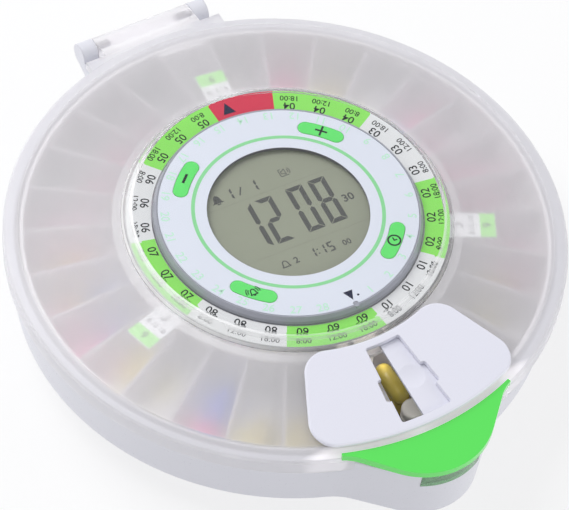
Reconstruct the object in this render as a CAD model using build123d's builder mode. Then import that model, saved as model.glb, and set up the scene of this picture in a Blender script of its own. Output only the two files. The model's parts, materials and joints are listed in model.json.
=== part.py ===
from build123d import *

import os
from math import atan, cos, degrees, hypot, pi, radians, sin, sqrt, tan

# Round automatic pill dispenser: a bowl with a motor-driven ring tray, a fixed dial in the
# middle and a hinged lid that hands out one cell at a time through a sliding hatch.
# Millimetres. The origin is on the dial's axis at table level, +Z is up, the nose that
# carries the lamp points along -Y and the lid's hinge is at the +Y side, nearly along X.

os.makedirs("parts", exist_ok=True)

# ---------------------------------------------------------------- driving dimensions
# Case, from above
lid_radius = 97.5           # outside of the lid's skirt
nose_reach = 14.6           # nose tip past the lid's skirt
base_nose_extra = 1.3       # the bowl's nose is drawn this much further out than the round wall
nose_tip_radius = 26.0
nose_flank = 45.0           # degrees between a nose flank and the Y axis
nose_fillet = 16.0          # where the nose blends into the round case
foot_inset = 4.1            # bottom of the bowl's wall inside the lid's skirt
rim_inset = 2.1             # top of the bowl's wall inside the lid's skirt
pedestal_inset = 18.5       # narrow base under the bowl, inside the lid's skirt

# Case, heights
foot_height = 2.4           # rubber feet below the cover
pedestal_height = 10.8
turn_under = 3.0            # bevel under the bowl's wall
wall_height = 24.6          # bowl's wall, above the bevel
wall_thickness = 2.2
hub_rise = 12.2             # dial face above the bowl's rim

# Lid
lid_thickness = 1.8
shoulder_inset = 5.0        # where the lid's cone meets its rim bevel
shoulder_rise = 4.2         # that edge above the bowl's rim
lid_slope = 0.133           # fall of the cone per millimetre outwards
rim_bevel = 2.3             # drop of the bevel
skirt_drop = 4.1            # lid's skirt below the bowl's rim
skirt_gap = 0.5             # skirt clear of the bowl's wall
window_radius = 57.2        # foot of the clear window
window_top_radius = 54.3
window_edge_radius = 0.9
window_wall = 1.1
window_flange = 3.0
glue_gap = 0.02

# Hinge
hinge_reach = 8.75          # hinge axis past the lid's skirt
hinge_turn = -1.5           # degrees: the hinge is this far round from opposite the nose
hinge_axis_drop = 4.3       # axis below the bowl's rim
knuckle_radius = 4.2
barrel_radius = 4.0
barrel_length = 38.0
knuckle_length = 5.8
knuckle_gap = 0.4
hinge_pin_radius = 1.75
hinge_pin_length = 10.6
leaf_half_width = 26.7
leaf_reach = 0.7            # hinge leaf past the lid's skirt

# Hatch
hatch_inner_radius = 58.9
hatch_outer_inset = 2.7     # hatch plate inside the lid's skirt
hatch_half_angle = 26.0
hatch_corner = 9.0
hatch_thickness = 1.65
hatch_edge_radius = 0.8
hatch_rise = 3.0            # hatch plate's top above the lid
hatch_margin = 1.2          # frame under the plate, inside its outline
window_inner_radius = 62.0
window_outer_inset = 5.9
window_half_angle = 6.0
door_thickness = 1.0
door_gap = 0.15
door_half_angle = 6.45
door_open_angle = 5.9       # the door stands this far round from closed
door_more_angle = 6.6       # and can go on this far
notch_length = 8.5
notch_depth = 1.6

# Nose cap and lamp
cap_inner_inset = 1.2
cap_wall = 0.9              # cap's edge over the nose plate
cap_edge_radius = 2.0
cap_rise = 0.73             # cap above the lid's cone
cap_half_angle = 19.8
cap_low_middle = 0.8        # cap's lower edge above the nose's wall top, at the tip
cap_low_end = 3.0           # and at the ends of the crescent
nose_wall_drop = 0.9        # nose's wall top below the bowl's rim
lens_half_width = 11.4
lens_height = 6.2
led_radius = 1.5

# Dial
dial_turn = -2.5            # degrees: the dial's lettering against the nose
bezel_radius = 46.6
bezel_slope = 1.1           # plan width of the bezel's slanted side
face_radius = 45.0
face_thickness = 1.2
bezel_rise = 3.2            # dial face above the column
display_radius = 28.0
key_ring_radius = 37.7
key_half_angle = 8.6        # to the centres of a key's round ends
key_width = 5.2
key_gap = 0.15
key_proud = 0.2
key_travel = 0.8
flange_width = 7.2
board_thickness = 1.6
board_depth = 5.4           # top of the circuit board below the dial face
board_radius = 42.6

# Tray
cell_count = 29
home_cell = 14
tray_floor = 1.2
tray_wall = 1.2
divider_thickness = 1.0
tray_gap = 0.6              # tray above the bowl's floor
tray_outer_gap = 1.6
label_inner_radius = 47.0
label_outer_radius = 55.4
label_thickness = 0.9
tab_turns = (172.2, 62.1, -74.5)    # degrees round from the nose
tab_length = 16.6
tab_width = 10.2

# Drive
teeth_per_cell = 4
gear_module = 0.85
idler_teeth = 20
pinion_teeth = 12
gear_width = 4.0
ring_radial_gap = 0.15
pin_radius = 1.5
running_gap = 0.05
motor_radius = 12.0
motor_height = 11.2
deck_thickness = 2.0

# Power
cell_length = 50.5
cell_radius = 7.25
battery_cells = 4
spring_length = 3.2
contact_thickness = 0.4
well_wall = 1.4
cover_thickness = 2.5
door_plate = 1.6
door_slide = 6.0
fit_gap = 0.3

# Pills
tablet_radius = 4.5
tablet_height = 3.6
capsule_radius = 3.2
capsule_length = 17.0

# ---------------------------------------------------------------- places worked out
bowl_underside = foot_height + pedestal_height
wall_foot = bowl_underside + turn_under
rim_height = wall_foot + wall_height
basin_floor = bowl_underside + wall_thickness
hub_face = rim_height + hub_rise
foot_radius = lid_radius - foot_inset
rim_radius = lid_radius - rim_inset
wall_taper = degrees(atan((foot_inset - rim_inset) / wall_height))
pedestal_radius = lid_radius - pedestal_inset
column_top = hub_face - bezel_rise
column_radius = bezel_radius - 0.2
column_bore = column_radius - 2.0
shoulder_radius = lid_radius - shoulder_inset
shoulder_height = rim_height + shoulder_rise
hinge_height = rim_height - hinge_axis_drop
hinge_axis_radius = lid_radius + hinge_reach
nose_top = rim_height - nose_wall_drop
hatch_outer_radius = lid_radius - hatch_outer_inset
window_outer_radius = lid_radius - window_outer_inset
cell_angle = 360 / cell_count
nose_azimuth = -90

ring_teeth = teeth_per_cell * cell_count
ring_pitch = ring_teeth * gear_module / 2
idler_pitch = idler_teeth * gear_module / 2
pinion_pitch = pinion_teeth * gear_module / 2
idler_x = ring_pitch - idler_pitch
pinion_x = idler_x - idler_pitch - pinion_pitch

cover_top = foot_height + cover_thickness
cells_axis = cover_top + fit_gap + cell_radius
well_roof = cells_axis + cell_radius + fit_gap
well_top = well_roof + well_wall
well_half_length = (cell_length + spring_length + 2 * contact_thickness + 2 * fit_gap) / 2
cell_pitch = 2 * cell_radius + 0.2
well_half_width = (battery_cells * cell_pitch + 4 * fit_gap) / 2
deck_bottom = well_top + 2 * fit_gap + motor_height
deck_top = deck_bottom + deck_thickness
gear_bottom = deck_top + 2 * fit_gap
gear_top = gear_bottom + gear_width
board_top = hub_face - board_depth
board_bottom = board_top - board_thickness

tray_bottom = basin_floor + tray_gap
tray_inner_radius = ring_pitch + gear_module + ring_radial_gap
tray_rim_radius = rim_radius - wall_thickness - tray_outer_gap
label_top = column_top + 0.2
label_bottom = label_top - label_thickness


def lid_top(radius):
    """Height of the lid's cone at a radius."""
    return shoulder_height + (shoulder_radius - radius) * lid_slope


def wall_radius(height):
    """Outside radius of the bowl's tapered wall at a height."""
    return foot_radius + (height - wall_foot) * tan(radians(wall_taper))


def polar(radius, azimuth):
    """Point on a circle, azimuth in degrees from +X."""
    return radius * cos(radians(azimuth)), radius * sin(radians(azimuth))


def radial_plane(azimuth):
    """Upright plane through the Z axis: local x points outwards and local y up."""
    outwards = (cos(radians(azimuth)), sin(radians(azimuth)), 0)
    return Plane(origin=(0, 0, 0), x_dir=outwards, z_dir=(outwards[1], -outwards[0], 0))


hinge_plane = radial_plane(-nose_azimuth + hinge_turn)


def body_outline(inset, extra=0.0):
    """Plan of the case and lid, a circle with a nose, drawn inside the lid's outside."""
    radius = lid_radius - inset
    tip_radius = nose_tip_radius - inset
    nose_centre = lid_radius + nose_reach + extra - nose_tip_radius
    line_offset = tip_radius + nose_centre * sin(radians(nose_flank))
    buried = radius - wall_thickness
    flank = nose_centre * cos(radians(nose_flank)) - sqrt(buried**2 - line_offset**2)
    with BuildSketch(Plane.XY) as outline:
        Circle(radius)
        with BuildLine():
            tip = CenterArc((0, -nose_centre), tip_radius, -90 - nose_flank, 2 * nose_flank)
            left = PolarLine(tip @ 0, flank, 90 + nose_flank)
            right = PolarLine(tip @ 1, flank, 90 - nose_flank)
            Line(left @ 1, right @ 1)
        make_face()
        on_circle = [v for v in outline.vertices() if abs(hypot(v.X, v.Y) - radius) < 0.001]
        fillet([v for v in on_circle if v.Y < -radius / 2], nose_fillet + inset)
    return outline.sketch


def sector(inner, outer, start, end):
    """Flat ring sector, angles in degrees from +X."""
    with BuildSketch(Plane.XY) as outline:
        with BuildLine():
            low = CenterArc((0, 0), inner, start, end - start)
            high = CenterArc((0, 0), outer, start, end - start)
            Line(low @ 0, high @ 0)
            Line(low @ 1, high @ 1)
        make_face()
    return outline.sketch


def curved_slot(radius, azimuth, half_angle, width):
    """Slot with round ends that follows a circle."""
    with BuildSketch(Plane.XY) as outline:
        add(sector(radius - width / 2, radius + width / 2, azimuth - half_angle, azimuth + half_angle))
        for side in (-1, 1):
            with Locations(polar(radius, azimuth + side * half_angle)):
                Circle(width / 2)
    return outline.sketch


def gear_points(teeth, pitch_radius, above, below, first, fraction=0.43):
    """Corners of straight-sided teeth; a tooth takes a fraction of the pitch, the rest is gap."""
    pressure = tan(radians(20))
    half_width = fraction * pi * gear_module / 2
    tip = (pitch_radius + above, half_width - above * pressure)
    root = (pitch_radius - below, half_width + below * pressure)
    points = []
    for tooth in range(teeth):
        middle = first + tooth * 360 / teeth
        for (radius, half), side in ((root, -1), (tip, -1), (tip, 1), (root, 1)):
            points.append(polar(radius, middle + side * degrees(half / radius)))
    return points


# ================================================================ case
deck_boss_radius = 3.2
deck_boss_circle = column_bore - 2.7
deck_boss_azimuths = (90, 210, 330)
cover_boss_radius = 3.5
cover_boss_circle = column_bore - 2.6
cover_boss_height = 7.6
cover_boss_azimuths = (0, 90, 180, 270)
cover_screw_radius = 1.3
cover_screw_reach = 6.0
small_screw_radius = 0.9
small_screw_reach = 5.0
small_head_radius = 1.6
small_head_height = 1.2
screw_hole_gap = 0.03
collar_height = 3.0
collar_gap = 0.08
rail_middle = 71.0
rail_width = 2.0
rail_gap = 0.1
nose_floor = wall_foot + wall_thickness
nose_room_half = 22.0
lens_bottom = nose_top - lens_height
led_board_half = 9.3
led_board_depth = 5.2
led_board_thickness = 1.2
led_board_bottom = lens_bottom - led_board_thickness - 0.2
nose_tip_inside = lid_radius + nose_reach + base_nose_extra - foot_inset - wall_thickness
led_board_middle = nose_tip_inside - 1.0 - led_board_depth / 2
knuckle_inner = barrel_length / 2 + knuckle_gap
knuckle_outer = knuckle_inner + knuckle_length
pin_blind = 1.2
arm_top = rim_height - skirt_drop - 0.6
arm_bottom = wall_foot + 6.0


def basin_profile(inwards, top):
    """Half section of the tray's basin out to a radius near the axis."""
    return (
        (inwards, basin_floor),
        (wall_radius(basin_floor) - 2 * wall_thickness, basin_floor),
        (wall_radius(wall_foot) - wall_thickness, wall_foot + 1),
        (wall_radius(top) - wall_thickness, top),
        (inwards, top),
    )


with BuildPart() as nose_room:
    with BuildSketch(Plane.XY.offset(nose_floor)):
        add(body_outline(foot_inset + wall_thickness, base_nose_extra))
    extrude(amount=nose_top - nose_floor + 1, taper=-wall_taper)
    with BuildSketch(Plane.XY.offset(nose_floor)):
        Circle(rim_radius + 0.4)
    extrude(amount=nose_top - nose_floor + 2, mode=Mode.SUBTRACT)
    with Locations((0, -lid_radius, rim_height / 2)):
        Box(2 * nose_room_half, 2 * (nose_reach + 4), 2 * rim_height, mode=Mode.INTERSECT)

with BuildPart() as base_housing:
    # bowl and nose, solid at first, with the bevel under the wall
    with BuildSketch(Plane.XY.offset(wall_foot)):
        add(body_outline(foot_inset, base_nose_extra))
    extrude(amount=wall_height, taper=-wall_taper)
    with BuildSketch(Plane.XY.offset(wall_foot)):
        add(body_outline(foot_inset, base_nose_extra))
    extrude(amount=-turn_under, taper=45)
    # arms of the hinge knuckles
    for side in (-1, 1):
        with BuildSketch(hinge_plane.offset(knuckle_inner if side > 0 else -knuckle_outer)):
            Polygon(
                (rim_radius - 3 * knuckle_radius, arm_bottom),
                (rim_radius - 3 * knuckle_radius, arm_top),
                (hinge_axis_radius - knuckle_radius - 0.8, arm_top),
                (hinge_axis_radius, hinge_height),
                (hinge_axis_radius + knuckle_radius * 0.7, hinge_height - knuckle_radius * 0.7),
                align=None,
            )
            with Locations((hinge_axis_radius, hinge_height)):
                Circle(knuckle_radius)
        extrude(amount=knuckle_length)
    with Locations(hinge_plane * Location((hinge_axis_radius, hinge_height, 0))):
        Cylinder(
            hinge_pin_radius + screw_hole_gap,
            2 * (knuckle_outer - pin_blind),
            mode=Mode.SUBTRACT,
        )
    # the nose's wall stops under the lid's nose plate
    with BuildSketch(Plane.XY.offset(nose_top)):
        with Locations((0, -lid_radius)):
            Rectangle(lid_radius, 2 * (nose_reach + 4))
        Circle(wall_radius(nose_top), mode=Mode.SUBTRACT)
    extrude(amount=nose_wall_drop + 1, mode=Mode.SUBTRACT)
    # round basin for the tray, and the room in the nose for the lamp
    with BuildSketch(Plane.XZ):
        Polygon(*basin_profile(0, rim_height + 1), align=None)
    revolve(axis=Axis.Z, mode=Mode.SUBTRACT)
    add(nose_room.part, mode=Mode.SUBTRACT)
    # notch for the lamp's lens
    with Locations((0, -lid_radius - nose_reach, (lens_bottom + rim_height) / 2)):
        Box(2 * (lens_half_width + 0.1), 16, rim_height - lens_bottom, mode=Mode.SUBTRACT)
    # ribs under the lamp board
    with BuildSketch(Plane.XY.offset(wall_foot)):
        for side in (-1, 1):
            with Locations((side * led_board_half * 0.7, -led_board_middle)):
                Rectangle(2.0, led_board_depth)
    extrude(amount=led_board_bottom - wall_foot)
    # the dial's column with the collar that guides the tray, and the tray's rail
    with BuildSketch(Plane.XY.offset(bowl_underside)):
        Circle(column_radius)
    extrude(amount=column_top - bowl_underside)
    with BuildSketch(Plane.XY.offset(bowl_underside)):
        Circle(tray_inner_radius - collar_gap)
    extrude(amount=wall_thickness + collar_height)
    with BuildSketch(Plane.XY.offset(bowl_underside + 1)):
        Circle(rail_middle + rail_width / 2)
        Circle(rail_middle - rail_width / 2, mode=Mode.SUBTRACT)
    extrude(amount=tray_bottom - rail_gap - bowl_underside - 1)
    with BuildSketch(Plane.XY.offset(bowl_underside)):
        Circle(column_bore)
    extrude(amount=column_top - bowl_underside, mode=Mode.SUBTRACT)
    # bosses inside the column, for the gear deck and for the cover
    with BuildSketch(Plane.XY.offset(bowl_underside)):
        for azimuth in deck_boss_azimuths:
            with Locations(polar(deck_boss_circle, azimuth)):
                Circle(deck_boss_radius)
    extrude(amount=deck_bottom - bowl_underside)
    with BuildSketch(Plane.XY.offset(bowl_underside)):
        for azimuth in cover_boss_azimuths:
            with Locations(polar(cover_boss_circle, azimuth)):
                Circle(cover_boss_radius)
    extrude(amount=cover_boss_height)
    with BuildSketch(Plane.XY.offset(bowl_underside)):
        for azimuth in cover_boss_azimuths:
            with Locations(polar(cover_boss_circle, azimuth)):
                Circle(cover_screw_radius + screw_hole_gap)
    extrude(amount=cover_screw_reach + 0.5, mode=Mode.SUBTRACT)
    with BuildSketch(Plane.XY.offset(deck_bottom)):
        for azimuth in deck_boss_azimuths:
            with Locations(polar(deck_boss_circle, azimuth)):
                Circle(small_screw_radius + screw_hole_gap)
    extrude(amount=-small_screw_reach, mode=Mode.SUBTRACT)
    # window in the column where the idler reaches the tray's teeth
    with Locations((column_bore, 0, (deck_top + gear_top + 1.0) / 2)):
        Box(10, 2 * idler_pitch + 5, gear_top + 1.0 - deck_top, mode=Mode.SUBTRACT)
base_housing.part.label = "base_housing"
export_step(base_housing.part, "parts/base_housing.step")

with BuildPart() as hinge_pins:
    pin_middle = knuckle_outer - pin_blind - hinge_pin_length / 2
    for side in (-1, 1):
        with Locations(hinge_plane * Location((hinge_axis_radius, hinge_height, side * pin_middle))):
            Cylinder(hinge_pin_radius, hinge_pin_length)
hinge_pins.part.label = "hinge_pins"
export_step(hinge_pins.part, "parts/hinge_pins.step")

# ================================================================ underside
foot_radius_rubber = 7.0
foot_recess = 0.6
foot_circle = 66.0
foot_azimuths = (0, 90, 180, 270)
cover_head_radius = 2.6
cover_head_height = 1.4
door_half_length = well_half_length + 2.0
door_half_width = well_half_width + 1.2
door_clearance = 0.25
tongue_length = 8.0
tongue_width = 1.6
tongue_height = 0.8
tongue_starts = (-24.0, -6.0, 12.0)
groove_bottom = foot_height + door_plate - tongue_height - 0.05
recess_top = foot_height + door_plate + 0.15

with BuildPart() as bottom_cover:
    # dish: the narrow base the case stands on
    with BuildSketch(Plane.XY.offset(foot_height)):
        Circle(pedestal_radius)
    extrude(amount=pedestal_height)
    with BuildSketch(Plane.XY.offset(cover_top)):
        Circle(pedestal_radius - wall_thickness)
    extrude(amount=pedestal_height, mode=Mode.SUBTRACT)
    # posts that reach up to the case's bosses
    with BuildSketch(Plane.XY.offset(foot_height)):
        for azimuth in cover_boss_azimuths:
            with Locations(polar(cover_boss_circle, azimuth)):
                Circle(cover_boss_radius)
    extrude(amount=pedestal_height)
    # battery well
    with BuildSketch(Plane.XY.offset(cover_top)):
        Rectangle(2 * (well_half_length + well_wall), 2 * (well_half_width + well_wall))
    extrude(amount=well_top - cover_top)
    with BuildSketch(Plane.XY.offset(foot_height)):
        Rectangle(2 * well_half_length, 2 * well_half_width)
    extrude(amount=well_roof - foot_height, mode=Mode.SUBTRACT)
    # recess the door slides in
    with Locations((door_slide / 2, 0, foot_height)):
        Box(
            2 * (door_half_length + door_clearance) + door_slide,
            2 * (door_half_width + door_clearance),
            2 * (recess_top - foot_height),
            mode=Mode.SUBTRACT,
        )
    # grooves for the door's tongues, with places to drop out
    groove_side = door_half_width + (tongue_width + door_clearance) / 2
    for start in tongue_starts:
        for side in (-1, 1):
            with Locations((start + (tongue_length + door_slide) / 2, side * groove_side)):
                with Locations((0, 0, (groove_bottom + recess_top) / 2)):
                    Box(
                        tongue_length + door_slide + 2 * fit_gap,
                        tongue_width + door_clearance,
                        recess_top - groove_bottom,
                        mode=Mode.SUBTRACT,
                    )
                with Locations((door_slide / 2, 0, (foot_height + recess_top) / 2)):
                    Box(
                        tongue_length + 2 * fit_gap,
                        tongue_width + door_clearance,
                        recess_top - foot_height,
                        mode=Mode.SUBTRACT,
                    )
    # seats for the feet
    with BuildSketch(Plane.XY.offset(foot_height)):
        for azimuth in foot_azimuths:
            with Locations(polar(foot_circle, azimuth)):
                Circle(foot_radius_rubber + 0.1)
    extrude(amount=foot_recess, mode=Mode.SUBTRACT)
    # screw holes with sunk heads
    with BuildSketch(Plane.XY.offset(foot_height)):
        for azimuth in cover_boss_azimuths:
            with Locations(polar(cover_boss_circle, azimuth)):
                Circle(cover_screw_radius + 0.2)
    extrude(amount=pedestal_height, mode=Mode.SUBTRACT)
    with BuildSketch(Plane.XY.offset(foot_height)):
        for azimuth in cover_boss_azimuths:
            with Locations(polar(cover_boss_circle, azimuth)):
                Circle(cover_head_radius + 0.2)
    extrude(amount=cover_head_height + 0.1, mode=Mode.SUBTRACT)
bottom_cover.part.label = "bottom_cover"
export_step(bottom_cover.part, "parts/bottom_cover.step")

with BuildPart() as battery_door:
    with BuildSketch(Plane.XY.offset(foot_height)):
        Rectangle(2 * door_half_length, 2 * door_half_width)
    extrude(amount=door_plate)
    for start in tongue_starts:
        for side in (-1, 1):
            with Locations((start + tongue_length / 2, side * (door_half_width + tongue_width / 2))):
                with Locations((0, 0, foot_height + door_plate - tongue_height / 2)):
                    Box(tongue_length, tongue_width, tongue_height)
    # thumb grip
    for groove in range(5):
        with Locations((door_half_length - 6 - 2 * groove, 0, foot_height)):
            Box(0.8, 16, 0.8, mode=Mode.SUBTRACT)
battery_door.part.label = "battery_door"
export_step(battery_door.part, "parts/battery_door.step")

with BuildPart() as feet:
    for azimuth in foot_azimuths:
        with Locations(polar(foot_circle, azimuth)):
            with Locations((0, 0, (foot_height + foot_recess) / 2)):
                Cylinder(foot_radius_rubber, foot_height + foot_recess)
    fillet(feet.edges().group_by(Axis.Z)[0], 0.6)
feet.part.label = "feet"
export_step(feet.part, "parts/feet.step")

with BuildPart() as cover_screws:
    for azimuth in cover_boss_azimuths:
        with Locations(polar(cover_boss_circle, azimuth)):
            with Locations((0, 0, foot_height + 0.1 + cover_head_height / 2)):
                Cylinder(cover_head_radius, cover_head_height)
            with Locations((0, 0, (foot_height + 1 + bowl_underside + cover_screw_reach) / 2)):
                Cylinder(cover_screw_radius, pedestal_height - 1 + cover_screw_reach)
            with Locations((0, 0, foot_height)):
                Box(3.0, 0.7, 1.4, mode=Mode.SUBTRACT)
                Box(0.7, 3.0, 1.4, mode=Mode.SUBTRACT)
cover_screws.part.label = "cover_screws"
export_step(cover_screws.part, "parts/cover_screws.step")

# Four cells side by side along X, turned about in pairs
nub_radius = 2.75
nub_length = 1.2
spring_wire = 0.35
spring_radius = 3.2
spring_turns = 3
cell_rows = tuple((row - (battery_cells - 1) / 2) * cell_pitch for row in range(battery_cells))
plate_middle = well_half_length - contact_thickness / 2
cell_start = well_half_length - contact_thickness - spring_length

with BuildPart() as battery_cells_part:
    for row, across in enumerate(cell_rows):
        way = 1 if row % 2 == 0 else -1
        body_length = cell_length - nub_length
        with Locations((way * (-cell_start + body_length / 2), across, cells_axis)):
            Cylinder(cell_radius, body_length, rotation=(0, 90, 0))
        with Locations((way * (-cell_start + cell_length - nub_length), across, cells_axis)):
            Cylinder(nub_radius, 2 * nub_length, rotation=(0, 90, 0))
battery_cells_part.part.label = "battery_cells"
export_step(battery_cells_part.part, "parts/battery_cells.step")

with BuildPart() as battery_contacts:
    for row, across in enumerate(cell_rows):
        for side in (-1, 1):
            with Locations((side * plate_middle, across, cells_axis)):
                Box(contact_thickness, cell_pitch - 3, cell_pitch - 4)
battery_contacts.part.label = "battery_contacts"
export_step(battery_contacts.part, "parts/battery_contacts.step")

with BuildPart() as battery_springs:
    for row, across in enumerate(cell_rows):
        way = 1 if row % 2 == 0 else -1
        first_coil = way * (cell_start + spring_wire + spring_length - 2 * spring_wire)
        for turn in range(spring_turns):
            along = -first_coil + way * turn * (spring_length - 2 * spring_wire) / (spring_turns - 1)
            with Locations((along, across, cells_axis)):
                Torus(spring_radius, spring_wire, rotation=(0, 90, 0))
        reach = spring_length - 2 * spring_wire
        with Locations((-first_coil + way * reach / 2, across, cells_axis + spring_radius)):
            Box(reach, 2 * spring_wire, spring_wire)
battery_springs.part.label = "battery_springs"
export_step(battery_springs.part, "parts/battery_springs.step")
# ================================================================ drive
addendum = 0.8 * gear_module
tooth_fraction = 0.43
shoulder_height_gap = 0.1
deck_gap = 0.3
motor_screw_reach = 9.0
motor_hole = 3.5
shaft_depth = 8.0
post_radius = 2.6
post_circle = 38.0
post_azimuths = (60, 120, 240, 300)
pin_head_radius = 2.4
pin_head_height = 0.9


def small_screw(spot, seat):
    """Self-tapping screw whose head sits on a face at the given height."""
    with BuildPart() as screw:
        with Locations((spot[0], spot[1], seat + small_head_height / 2)):
            Cylinder(small_head_radius, small_head_height)
        with Locations((spot[0], spot[1], seat - small_screw_reach / 2)):
            Cylinder(small_screw_radius, small_screw_reach)
        with Locations((spot[0], spot[1], seat + small_head_height)):
            Box(2.2, 0.5, 1.2, mode=Mode.SUBTRACT)
            Box(0.5, 2.2, 1.2, mode=Mode.SUBTRACT)
    return screw.part


def cylinder_between(radius, low, high, spot=(0, 0), mode=Mode.ADD):
    """Upright cylinder from one height to another."""
    with Locations((spot[0], spot[1], (low + high) / 2)):
        Cylinder(radius, high - low, mode=mode)


motor_screw_spots = [(pinion_x, side * motor_screw_reach) for side in (-1, 1)]
deck_screw_spots = [polar(deck_boss_circle, azimuth) for azimuth in deck_boss_azimuths]
board_screw_spots = [polar(post_circle, azimuth) for azimuth in post_azimuths]

with BuildPart() as gear_deck:
    with BuildSketch(Plane.XY.offset(deck_bottom)):
        Circle(column_bore - deck_gap)
        with Locations(*deck_screw_spots, *motor_screw_spots):
            Circle(small_screw_radius + 0.15, mode=Mode.SUBTRACT)
        with Locations((pinion_x, 0)):
            Circle(motor_hole, mode=Mode.SUBTRACT)
    extrude(amount=deck_thickness)
    with BuildSketch(Plane.XY.offset(deck_top)):
        with Locations(*board_screw_spots):
            Circle(post_radius)
    extrude(amount=board_bottom - deck_top)
    with BuildSketch(Plane.XY.offset(board_bottom)):
        with Locations(*board_screw_spots):
            Circle(small_screw_radius + screw_hole_gap)
    extrude(amount=-small_screw_reach, mode=Mode.SUBTRACT)
    with BuildSketch(Plane.XY.offset(deck_top)):
        with Locations((idler_x, 0)):
            Circle(pin_head_radius)
    extrude(amount=gear_bottom - deck_top - shoulder_height_gap)
    with BuildSketch(Plane.XY.offset(deck_bottom)):
        with Locations((idler_x, 0)):
            Circle(pin_radius)
    extrude(amount=gear_bottom - deck_bottom, mode=Mode.SUBTRACT)
gear_deck.part.label = "gear_deck"
export_step(gear_deck.part, "parts/gear_deck.step")

with BuildPart() as idler_pin:
    cylinder_between(pin_radius, deck_bottom, gear_top + shoulder_height_gap, (idler_x, 0))
    head_bottom = gear_top + shoulder_height_gap
    cylinder_between(pin_head_radius, head_bottom, head_bottom + pin_head_height, (idler_x, 0))
idler_pin.part.label = "idler_pin"
export_step(idler_pin.part, "parts/idler_pin.step")

with BuildPart() as idler_gear:
    with BuildSketch(Plane.XY.offset(gear_bottom)):
        with Locations((idler_x, 0)):
            Polygon(*gear_points(idler_teeth, idler_pitch, addendum, gear_module, 0), align=None)
            Circle(pin_radius + running_gap, mode=Mode.SUBTRACT)
    extrude(amount=gear_width)
idler_gear.part.label = "idler_gear"
export_step(idler_gear.part, "parts/idler_gear.step")

with BuildPart() as motor_pinion:
    with BuildSketch(Plane.XY.offset(gear_bottom)):
        with Locations((pinion_x, 0)):
            half_pitch = 180 / pinion_teeth
            corners = gear_points(pinion_teeth, pinion_pitch, addendum, gear_module, half_pitch)
            Polygon(*corners, align=None)
    extrude(amount=gear_width)
    cylinder_between(pin_radius, deck_bottom - shaft_depth, gear_top + 0.8, (pinion_x, 0))
motor_pinion.part.label = "motor_pinion"
export_step(motor_pinion.part, "parts/motor_pinion.step")

with BuildPart() as motor_body:
    cylinder_between(motor_radius, deck_bottom - motor_height, deck_bottom, (pinion_x, 0))
    cylinder_between(motor_hole - 0.2, deck_bottom, deck_bottom + 1.0, (pinion_x, 0))
    bore_low = deck_bottom - shaft_depth - 0.2
    cylinder_between(
        pin_radius + running_gap, bore_low, deck_bottom + 1.0, (pinion_x, 0), Mode.SUBTRACT
    )
    with BuildSketch(Plane.XY.offset(deck_bottom)):
        with Locations(*motor_screw_spots):
            Circle(small_screw_radius + screw_hole_gap)
    extrude(amount=-small_screw_reach, mode=Mode.SUBTRACT)
motor_body.part.label = "motor_body"
export_step(motor_body.part, "parts/motor_body.step")

# ================================================================ tray
tray_foot_inset = 2.8
tray_draft = 1.4
tray_wall_top = rim_height + 0.7
inner_wall_thickness = 1.6
inner_wall_top = label_bottom
divider_outer_drop = 0.9
divider_inner_top = inner_wall_top - 4.9
divider_middle = 72.0
divider_middle_top = inner_wall_top - 5.7
home_cover_thickness = 1.0
home_cover_half_angle = cell_angle / 2 - degrees((divider_thickness / 2 + fit_gap / 3) / tray_inner_radius)
divider_gap = 0.03

with BuildPart() as pill_tray:
    with BuildSketch(Plane.XZ):
        Polygon(
            (tray_inner_radius, tray_bottom),
            (tray_rim_radius - tray_foot_inset, tray_bottom),
            (tray_rim_radius - tray_draft, tray_bottom + 1.6),
            (tray_rim_radius, tray_wall_top),
            (tray_rim_radius - tray_wall, tray_wall_top),
            (tray_rim_radius - tray_wall - tray_draft, tray_bottom + 1.6),
            (tray_rim_radius - tray_wall - tray_foot_inset, tray_bottom + tray_floor),
            (tray_inner_radius + inner_wall_thickness, tray_bottom + tray_floor),
            (tray_inner_radius + inner_wall_thickness, inner_wall_top),
            (tray_inner_radius, inner_wall_top),
            align=None,
        )
    revolve(axis=Axis.Z)
    # the home cell is closed
    home_azimuth = nose_azimuth + home_cell * cell_angle
    with BuildSketch(Plane.XY.offset(tray_wall_top - divider_outer_drop - home_cover_thickness)):
        add(
            sector(
                tray_inner_radius + inner_wall_thickness / 2,
                tray_rim_radius - tray_wall / 2,
                home_azimuth - home_cover_half_angle,
                home_azimuth + home_cover_half_angle,
            )
        )
    extrude(amount=home_cover_thickness)
    # ring gear on the inner wall
    ring_half_pitch = 180 / ring_teeth
    with BuildSketch(Plane.XY.offset(gear_bottom)):
        Circle(tray_inner_radius + inner_wall_thickness / 2)
        Polygon(
            *gear_points(ring_teeth, ring_pitch, gear_module, addendum, 0, 1 - tooth_fraction),
            align=None,
            mode=Mode.SUBTRACT,
        )
    extrude(amount=gear_width)
pill_tray.part.label = "pill_tray"
export_step(pill_tray.part, "parts/pill_tray.step")

# Blades between the cells; each stands on the tray's floor between its two walls
with BuildPart() as tray_dividers:
    for cell in range(cell_count):
        with BuildSketch(radial_plane(nose_azimuth + (cell + 0.5) * cell_angle)):
            Polygon(
                (tray_inner_radius + inner_wall_thickness + divider_gap, tray_bottom + tray_floor),
                (tray_rim_radius - tray_wall - tray_foot_inset - divider_gap, tray_bottom + tray_floor),
                (tray_rim_radius - tray_wall - tray_draft - divider_gap, tray_bottom + 1.6),
                (
                    tray_rim_radius - tray_wall - divider_gap - 0.06,
                    tray_wall_top - divider_outer_drop,
                ),
                (divider_middle, divider_middle_top),
                (tray_inner_radius + inner_wall_thickness + divider_gap, divider_inner_top),
                align=None,
            )
        extrude(amount=divider_thickness / 2, both=True)
tray_dividers.part.label = "tray_dividers"
export_step(tray_dividers.part, "parts/tray_dividers.step")

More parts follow.
